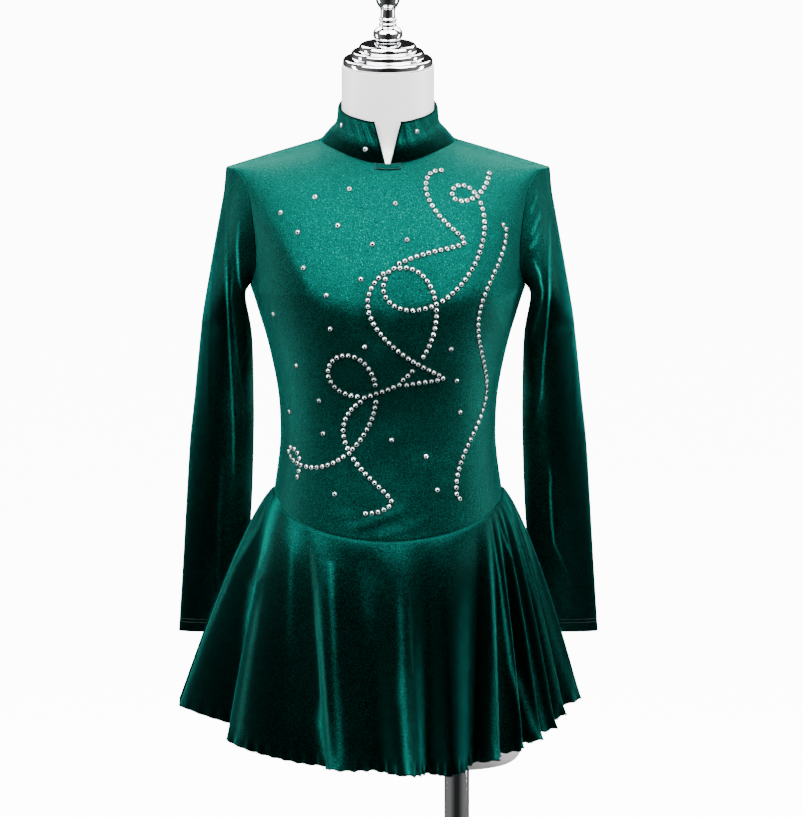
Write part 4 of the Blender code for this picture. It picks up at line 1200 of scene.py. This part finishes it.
# Skirt: a circle cut in a front and a back, sewn to the bodice at the curved waist seam and joined at the
# sides. It falls in deep uneven flutes, and its raw edge is rolled and overlocked with dark thread.
SKIRT_LENGTH = 278.0
CONE_SIDE, CONE_FRONT, CONE_BACK = 226.0, 184.0, 178.0
FLARE_POWER, FOLD_POWER = 0.72, 0.95
# Folds round the hem, in degrees from the centre front towards +X: the ridge's turn at the waist seam, its
# turn at the hem and its reach, then the same three for the valley after it
FOLDS = (
    (-93, -92, 249, -81, -73, 170),
    (-65, -60, 217, -43, -24, 180),
    (-37, -18.5, 201, -13, -3, 173),
    (4, 7, 202, 15, 17, 163),
    (25, 22.5, 199, 45, 38.5, 161),
    (54, 42.5, 191, 57.5, 49, 174),
    (61, 54, 196, 64, 59, 175),
    (67, 64.5, 200, 70, 69.5, 177),
    (73, 75, 205, 76, 80, 182),
    (79, 85, 211, 83, 89.5, 190),
    (89, 95, 231, 98, 107, 172),
    (104, 114, 189, 111, 122, 165),
    (118, 130, 188, 126, 138, 160),
    (134, 147, 192, 142, 156, 158),
    (151, 165, 198, 160, 174, 160),
    (169, 184, 202, 179, 193, 162),
    (188, 202, 197, 197, 211, 158),
    (206, 219, 191, 215, 228, 160),
    (224, 235, 188, 233, 243, 164),
    (243, 251, 194, 256, 260, 175),
)
HEM_STEP = 2.6
# Cutting and stretch leave the hem uneven: turn at the hem, millimetres shorter than the circle
HEM_UNEVEN = ((-130, 0), (-96, -8), (-72, -9), (-62, 0), (-32, 0), (-18, 5), (-6, 9), (5, 7), (13, 4),
              (22, 0), (40, -3), (70, -4), (100, 0), (140, 3), (190, -2), (230, 0))


def skirt_columns():
    """Seam turn, hem turn and reach of each line down the cloth, about HEM_STEP apart at the hem."""
    stops = [stop for pair in FOLDS for stop in (pair[:3], pair[3:])]
    stops.append((stops[0][0] + 360, stops[0][1] + 360, stops[0][2]))
    columns = []
    for (seam, turn, reach), (next_seam, next_turn, next_reach) in zip(stops, stops[1:]):
        run = math.hypot(math.radians(next_turn - turn) * 200, next_reach - reach)
        count = max(6, round(run / HEM_STEP))
        for f in np.arange(count) / count:
            ease = (1 - math.cos(math.pi * f)) / 2
            columns.append((seam + (next_seam - seam) * f, turn + (next_turn - turn) * f,
                            reach + (next_reach - reach) * ease))
    return np.array(columns)


def skirt_points(columns, t):
    """Grid of the skirt's outer face: from the waist seam each line flares out and falls to its own reach."""
    seam_turn, hem_turn = np.radians(columns[:, 0]), np.radians(columns[:, 1])
    reach = columns[:, 2]
    back = np.cos(seam_turn) < 0
    turn = np.where(back, math.pi - seam_turn, seam_turn)
    top = np.where(back[:, None], section_point(seam_height(turn, True), turn, True),
                   section_point(seam_height(turn, False), turn, False))
    out = vectors(np.sin(hem_turn), -np.cos(hem_turn), 0.0)
    depth = np.where(np.cos(hem_turn) < 0, CONE_BACK, CONE_FRONT)
    even = 1 / np.hypot(out[:, 0] / CONE_SIDE, out[:, 1] / depth)
    flare = (even + reach) / 2 - np.hypot(top[:, 0], top[:, 1])
    length = SKIRT_LENGTH - straight(HEM_UNEVEN, columns[:, 1])
    drop = np.sqrt(length ** 2 - flare ** 2)
    wide, folded = (t ** FLARE_POWER)[:, None, None], (t ** FOLD_POWER)[:, None, None]
    flat_top = top * (1, 1, 0)
    points = flat_top + (out * even[:, None] - flat_top) * wide + out * (reach - even)[:, None] * folded
    points[..., 2] = top[:, 2] - drop * t[:, None]
    return points


# Painted highlights down the folds, and one band of painted shade, set by how far the pile stands up. Each
# streak has a ridge height, then rows of its share of the length, its turn at the hem, its half width in
# degrees and how far its pile stands up.
STREAKS = (
    (0.0, ((0.0, -88, 3, 0.3), (0.2, -87, 2.5, 0.5), (0.7, -90, 1.8, 0.5), (1.0, -91, 2, 0.5))),
    (0.0, ((0.06, -80, 2, 0.2), (0.13, -81, 1.6, 0.7), (0.29, -86, 1.4, 0.5), (0.34, -87, 1.4, 0.0))),
    (0.9, ((0.0, -66, 6, 1.7), (0.16, -65, 7, 1.8), (0.26, -66, 7, 1.6), (0.4, -73, 5.5, 1.5),
           (0.55, -75.5, 3.6, 1.35), (0.7, -75.5, 3.4, 0.8), (0.85, -75.5, 3, 0.2), (1.0, -75.5, 3, 0.0))),
    (1.0, ((0.3, -55, 2, 0.1), (0.45, -56, 2.4, 0.4), (0.7, -55.5, 2.4, 0.42), (1.0, -55, 2.6, 0.42))),
    (0.0, ((0.0, -36, 9, 0.3), (0.06, -37, 11, 0.5), (0.12, -36, 8, 0.3), (0.2, -36, 6, 0.0))),
    (0.8, ((0.1, -38, 2, 0.1), (0.22, -38, 2.4, 0.3), (0.42, -37.5, 2, 0.25), (0.6, -37, 2, 0.0))),
    (0.0, ((0.03, -17, 5, 0.1), (0.12, -16, 5, 0.16), (0.2, -16, 3.5, 0.12), (0.3, -16, 2, 0.0))),
    (1.4, ((0.1, -18, 2.6, 0.0), (0.2, -18.5, 2.2, 0.05), (0.3, -19.8, 2.3, 0.4), (0.4, -21, 2.4, 0.65),
           (0.56, -21.3, 1.9, 0.8), (0.7, -21.8, 1.9, 0.9), (0.82, -22.8, 3.6, 1.1), (0.95, -21.5, 3.4, 1.15),
           (1.0, -20.5, 3.0, 1.1))),
    (1.4, ((0.12, -13.4, 1.2, 0.3), (0.3, -14.6, 1.2, 0.45), (0.6, -15.6, 1.2, 0.4),
           (1.0, -15.6, 1.8, 0.45))),
    (0.8, ((0.08, -2, 2, 0.0), (0.15, -2, 3, 0.2), (0.3, -2.4, 2.6, 0.24), (0.46, -2.6, 2, 0.0))),
    (0.0, ((0.02, 7, 4, 0.1), (0.07, 7, 5, 0.14), (0.14, 7, 3, 0.06), (0.2, 7, 1.5, 0.0))),
    (1.2, ((0.15, 6.6, 0.9, 0.0), (0.3, 6.4, 1.0, 0.34), (0.5, 6.2, 1.2, 0.5), (0.65, 6.0, 1.8, 0.6),
           (0.8, 6.4, 1.7, 0.66), (1.0, 6.6, 1.5, 0.85))),
    (0.8, ((0.2, 9.8, 0.8, 0.1), (0.45, 9.8, 0.8, 0.25), (0.68, 10.8, 0.9, 0.3), (1.0, 11.6, 1.4, 0.4))),
    (0.0, ((0.1, 30, 6, 0.0), (0.3, 31, 7, -0.7), (0.5, 32, 7.5, -1.1), (0.94, 32.5, 8, -1.25),
           (1.0, 32, 8, -1.0))),
    (1.4, ((0.08, 44, 1.2, 0.1), (0.2, 43.4, 1.4, 0.35), (0.42, 42.6, 1.2, 0.45), (0.75, 42, 1.3, 0.8),
           (1.0, 41.6, 1.6, 0.95))),
    (0.8, ((0.3, 49.5, 1.6, 0.0), (0.5, 49.8, 1.6, 0.35), (0.8, 50, 1.8, 0.45), (1.0, 50.4, 1.8, 0.4))),
    (0.0, ((0.02, 49.5, 0.8, 0.5), (0.25, 51.4, 0.8, 0.7), (0.65, 52.6, 0.9, 0.7), (0.85, 55, 0.9, 0.6),
           (1.0, 62, 0.9, 0.3))),
    (1.2, ((0.6, 60.4, 0.9, 0.0), (0.74, 61, 1.0, 0.7), (0.95, 63, 1.1, 0.75), (1.0, 64, 1.2, 0.7))),
    (0.0, ((0.02, 59, 0.8, 0.5), (0.17, 63, 0.9, 0.7), (0.33, 70.6, 0.9, 0.75), (1.0, 72.6, 1.0, 0.7))),
    (0.0, ((0.0, 79, 4, 0.7), (0.07, 82, 3, 0.7), (0.15, 82, 1.4, 0.62), (0.5, 83.6, 0.9, 0.55),
           (1.0, 84, 1.0, 0.55))),
    (0.0, ((0.05, 93, 1.1, 0.5), (0.4, 92.4, 1.0, 0.55), (0.8, 93, 1.1, 0.6), (1.0, 94, 1.4, 0.6))),
    (1.4, ((0.1, 119, 2, 0.3), (0.3, 121, 2.2, 0.6), (0.7, 123, 1.6, 0.6), (1.0, 125, 2.6, 0.7))),
    (1.0, ((0.05, 141, 3, 0.5), (0.2, 142, 2, 0.4), (0.6, 143, 1.2, 0.55), (1.0, 144, 1.8, 0.6))),
    (1.6, ((0.15, 160, 1.2, 0.3), (0.4, 160, 2.2, 0.7), (0.7, 161, 1.5, 0.65), (1.0, 162, 2.4, 0.7))),
    (0.8, ((0.03, 176, 4, 0.45), (0.12, 176, 3, 0.45), (0.3, 177, 1.4, 0.3), (0.6, 177, 1.2, 0.0))),
    (1.4, ((0.2, 190, 1.2, 0.3), (0.5, 189, 1.4, 0.6), (1.0, 188, 2.2, 0.7))),
    (1.2, ((0.08, 209, 2, 0.4), (0.35, 208, 1.6, 0.6), (0.8, 207, 1.6, 0.6), (1.0, 206, 2, 0.6))),
    (1.6, ((0.15, 225, 1.4, 0.4), (0.5, 224, 2.2, 0.7), (0.8, 223, 1.5, 0.6), (1.0, 223, 2.2, 0.7))),
    (1.0, ((0.02, 243, 4, 0.6), (0.15, 242, 3, 0.6), (0.5, 240, 1.6, 0.6), (1.0, 239, 1.8, 0.6))),
)
# How far the rolled hem curls in and out: turn at the hem, millimetres
CURLS = ((-92, 0.5), (-60, 1.3), (-15, 2.0), (20, 2.2), (42, 2.6), (88, 2.6), (94, 1.2), (130, 1.4),
         (200, 1.1), (268, 0.4))
# Lengths of its long and short curls, and the shares of the skirt's length where they start and grow
LONG_CURL, SHORT_CURL = 17, 9.3
CURL_START, CURL_GROWTH = 0.92, 0.08


def streak_heights(turn, t):
    """Ridge height and lift of the pile, which is painted light, on a grid of lines (turn) down the cloth
    (t).
    """
    ridge, lift = np.zeros((len(t), len(turn))), np.zeros((len(t), len(turn)))
    for height, rows in STREAKS:
        rows = np.array(rows)
        centre, half, shine = (np.interp(t, rows[:, 0], rows[:, k])[:, None] for k in (1, 2, 3))
        shine = shine * ((t >= rows[0, 0]) & (t <= rows[-1, 0]))[:, None]
        share = np.exp(-((turn[None, :] - centre) / half) ** 2)
        ridge += height * share * shine
        lift += share * shine
    return ridge, lift


columns = skirt_columns()
hem_turn = columns[:, 1]
# Rows down the skirt as shares of its length, closer at the seam and at the hem
t = np.concatenate([[0, 0.002, 0.005, 0.009, 0.014, 0.02], np.linspace(0.03, 0.93, 80),
                    np.linspace(0.94, 1, 10)])
skirt = skirt_points(columns, t)
skirt_normals = -grid_normals(skirt, True)
skirt_ridge, skirt_painted_light_lift = streak_heights(hem_turn, t)
skirt_roll = seam_roll(skirt, depth=0.6, width=3.0, rows=(True, False), columns=(False, False))
hem_run = lengths(skirt[-1:], 1)[0]
curl = straight(CURLS, hem_turn)
wander = 1.3 * np.sin(hem_run / 41) + 0.9 * np.sin(hem_run / 23 + 2)
long_turn = hem_run * 2 * math.pi / LONG_CURL + wander
wave = np.sin(long_turn) + 0.35 * np.sin(hem_run * 2 * math.pi / SHORT_CURL + 2 * wander)
near_hem = np.clip((t - CURL_START) / CURL_GROWTH, 0, 1)[:, None] ** 1.6
skirt = skirt + skirt_normals * (skirt_roll + skirt_ridge + near_hem * curl * wave)[..., None]
skirt[..., 2] += near_hem * curl * 0.45 * np.cos(long_turn)
# The pile hangs down, most of all at the sides and least near the seam, and lifts along the streaks; so the
# lean paints shade at the sides, light near the seam and highlights along the streaks
at_side = np.clip((np.abs(np.sin(np.radians(hem_turn))) - 0.6) / 0.35, 0, 1)
near_seam = 0.2 * np.clip(1 - t / 0.35, 0, 1)[:, None]
skirt_lean_and_painted_light = near_seam - 0.42 - 0.55 * at_side + skirt_painted_light_lift * (1 + 0.65 * at_side)
# The top edge goes on up under the bodice's edge, which it is sewn to
tucked = skirt[0] - unit(skirt[0] * (1, 1, 0)) * 0.5 + (0, 0, 2.2)
skirt, skirt_lean_and_painted_light = np.concatenate([tucked[None], skirt]), np.concatenate([skirt_lean_and_painted_light[:1], skirt_lean_and_painted_light])
# The front and the back meet at the first line and at the one nearest to the right side
side_line = int(np.argmin(np.abs(columns[:, 0] - 90)))
halves = {"front": np.arange(side_line + 1), "back": np.append(np.arange(side_line, len(columns)), 0)}
for label, lines in halves.items():
    panel = cloth(f"velvet_skirt_{label}", skirt[:, lines], skirt_lean_and_painted_light[:, lines], flip=True)
    wear(panel, f"skirt_{label}")

# Overlocked edge: loops of navy thread wrap the cut edge of the skirt every 2.2 mm
navy_thread = thread("navy polyester thread", "#04070F", "#141E33")
overlock = stitch_tree("overlock", navy_thread, {"Pitch": 0.0022, "Loop radius": 0.00115, "Sweep": 3.7,
                                                 "Sink": 0.0, "Thread radius": 0.0003})
up_cloth = unit(skirt[-4] - skirt[-1])
out_of_cloth = unit(np.cross(np.cross(up_cloth, -skirt_normals[-1]), up_cloth))
edge_line = skirt[-1] + up_cloth * 0.35 + out_of_cloth * (CLOTH / 2)
for label, lines in halves.items():
    line = edge_line[lines]
    edges = [(k, k + 1) for k in range(len(line) - 1)]
    # Each loop lies square to the edge and opens up the cloth, so it wraps the edge
    lie = {"axis": unit(np.gradient(line, axis=0)), "open": up_cloth[lines]}
    hem_thread = run_group(f"thread_skirt_hem_{label}", overlock, line, edges, lie)
    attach(hem_thread, "root")

# Studio: a round floor of white paper and a wall of it all round, as a plain background. Two soft boxes stand
# high in front, one is overhead, a narrow one is low at each side, and two behind light the edges.
ROOM_RADIUS, ROOM_HEIGHT, FLOOR_LEVEL = 30000, 30000, -0.5
round_turns = np.radians(np.arange(0, 360, 5))
wall_foot = vectors(ROOM_RADIUS * np.sin(round_turns), ROOM_RADIUS * np.cos(round_turns), FLOOR_LEVEL)
floor = build("studio_floor", wall_foot, [tuple(range(len(wall_foot)))], centre_x=0.0)
wall_ring = np.arange(len(wall_foot) + 1) % len(wall_foot)
wall = build("studio_wall", np.vstack([wall_foot, wall_foot + (0, 0, ROOM_HEIGHT)]),
             quads(np.array([wall_ring, wall_ring + len(wall_foot)])), centre_x=0.0)
# Paper that is lit until it looks plain white; it throws no light on the dress and isn't mirrored in it
paper, tree, shader = new_material("white paper sweep")
shader.inputs["Base Color"].default_value = linear("#F4F4F4")
shader.inputs["Roughness"].default_value = 0.9
shader.inputs["Emission Color"].default_value = (1, 1, 1, 1)
shader.inputs["Emission Strength"].default_value = 12.0
for paper_piece in (floor, wall):
    paper_piece.data.materials.append(paper)
    paper_piece.visible_diffuse = False
    paper_piece.visible_glossy = False
    paper_piece.visible_shadow = False
STUDIO_AIM = Vector((-0.08, 0, 1.15))
# Turn and rise, distance, width and height in metres, and power in watts
SOFT_BOXES = {
    "front_left_box": (-45, 52, 2.6, 2.2, 2.0, 215),
    "front_right_box": (54, 52, 2.6, 2.2, 2.0, 215),
    "top_box": (0, 80, 2.2, 1.2, 1.2, 40),
    "side_left_box": (-97, -7, 2.4, 0.5, 1.5, 46),
    "side_right_box": (97, -7, 2.4, 0.5, 1.5, 56),
    "rear_left_box": (-142, 44, 2.6, 1.3, 1.3, 80),
    "rear_right_box": (142, 44, 2.6, 1.3, 1.3, 80),
}


def soft_box(name, turn, rise, distance, width, height, power):
    """Soft box at a turn from straight in front and a rise above the level, in degrees."""
    turn, rise = math.radians(turn), math.radians(rise)
    away = Vector((math.sin(turn) * math.cos(rise), -math.cos(turn) * math.cos(rise), math.sin(rise)))
    data = bpy.data.lights.new(name, "AREA")
    data.shape = "RECTANGLE"
    data.size, data.size_y, data.energy = width, height, power
    lamp = bpy.data.objects.new(name, data)
    lamp.location = STUDIO_AIM + away * distance
    lamp.rotation_euler = (-away).to_track_quat("-Z", "Y").to_euler()
    lamp.visible_camera = False
    bpy.context.scene.collection.objects.link(lamp)


for box_name, place_and_size in SOFT_BOXES.items():
    soft_box(box_name, *place_and_size)
# The room's own walls are dim, darkest in front and behind and brighter at the sides
world = bpy.data.worlds.new("studio")
bpy.context.scene.world = world
world.use_nodes = True
walls = world.node_tree
way = add(walls, "ShaderNodeSeparateXYZ", {"Vector": add(walls, "ShaderNodeTexCoord").outputs["Generated"]})
aside = add(walls, "ShaderNodeMath", {0: way.outputs["X"], 1: way.outputs["X"]}, operation="MULTIPLY")
glow = add(walls, "ShaderNodeMapRange", {"Value": aside.outputs["Value"], "From Min": 0.05, "From Max": 0.8,
                                         "To Min": 0.025, "To Max": 0.22})
walls.nodes["Background"].inputs["Color"].default_value = (1, 1, 1, 1)
walls.links.new(glow.outputs["Result"], walls.nodes["Background"].inputs["Strength"])

# Camera: level with the chest and looking slightly down, with the finial and the pole cut by the frame
CAMERA_DISTANCE, CAMERA_PITCH = 7.0, math.radians(11)
FRAME_CENTRE_X, FRAME_CENTRE_Z = -0.06607, 1.1
# The frame is 803 pixels of 1.18 mm wide at the dress
FRAME_WIDTH = 803 * 0.00118
SENSOR_WIDTH = 36
lens = bpy.data.cameras.new("studio_camera")
lens.sensor_fit = "HORIZONTAL"
lens.sensor_width = SENSOR_WIDTH
lens.lens = SENSOR_WIDTH * CAMERA_DISTANCE / FRAME_WIDTH
camera = bpy.data.objects.new("studio_camera", lens)
camera.location = (FRAME_CENTRE_X, -CAMERA_DISTANCE * math.cos(CAMERA_PITCH),
                   FRAME_CENTRE_Z + CAMERA_DISTANCE * math.sin(CAMERA_PITCH))
camera.rotation_euler = (math.pi / 2 - CAMERA_PITCH, 0, 0)
bpy.context.scene.collection.objects.link(camera)
bpy.context.scene.camera = camera
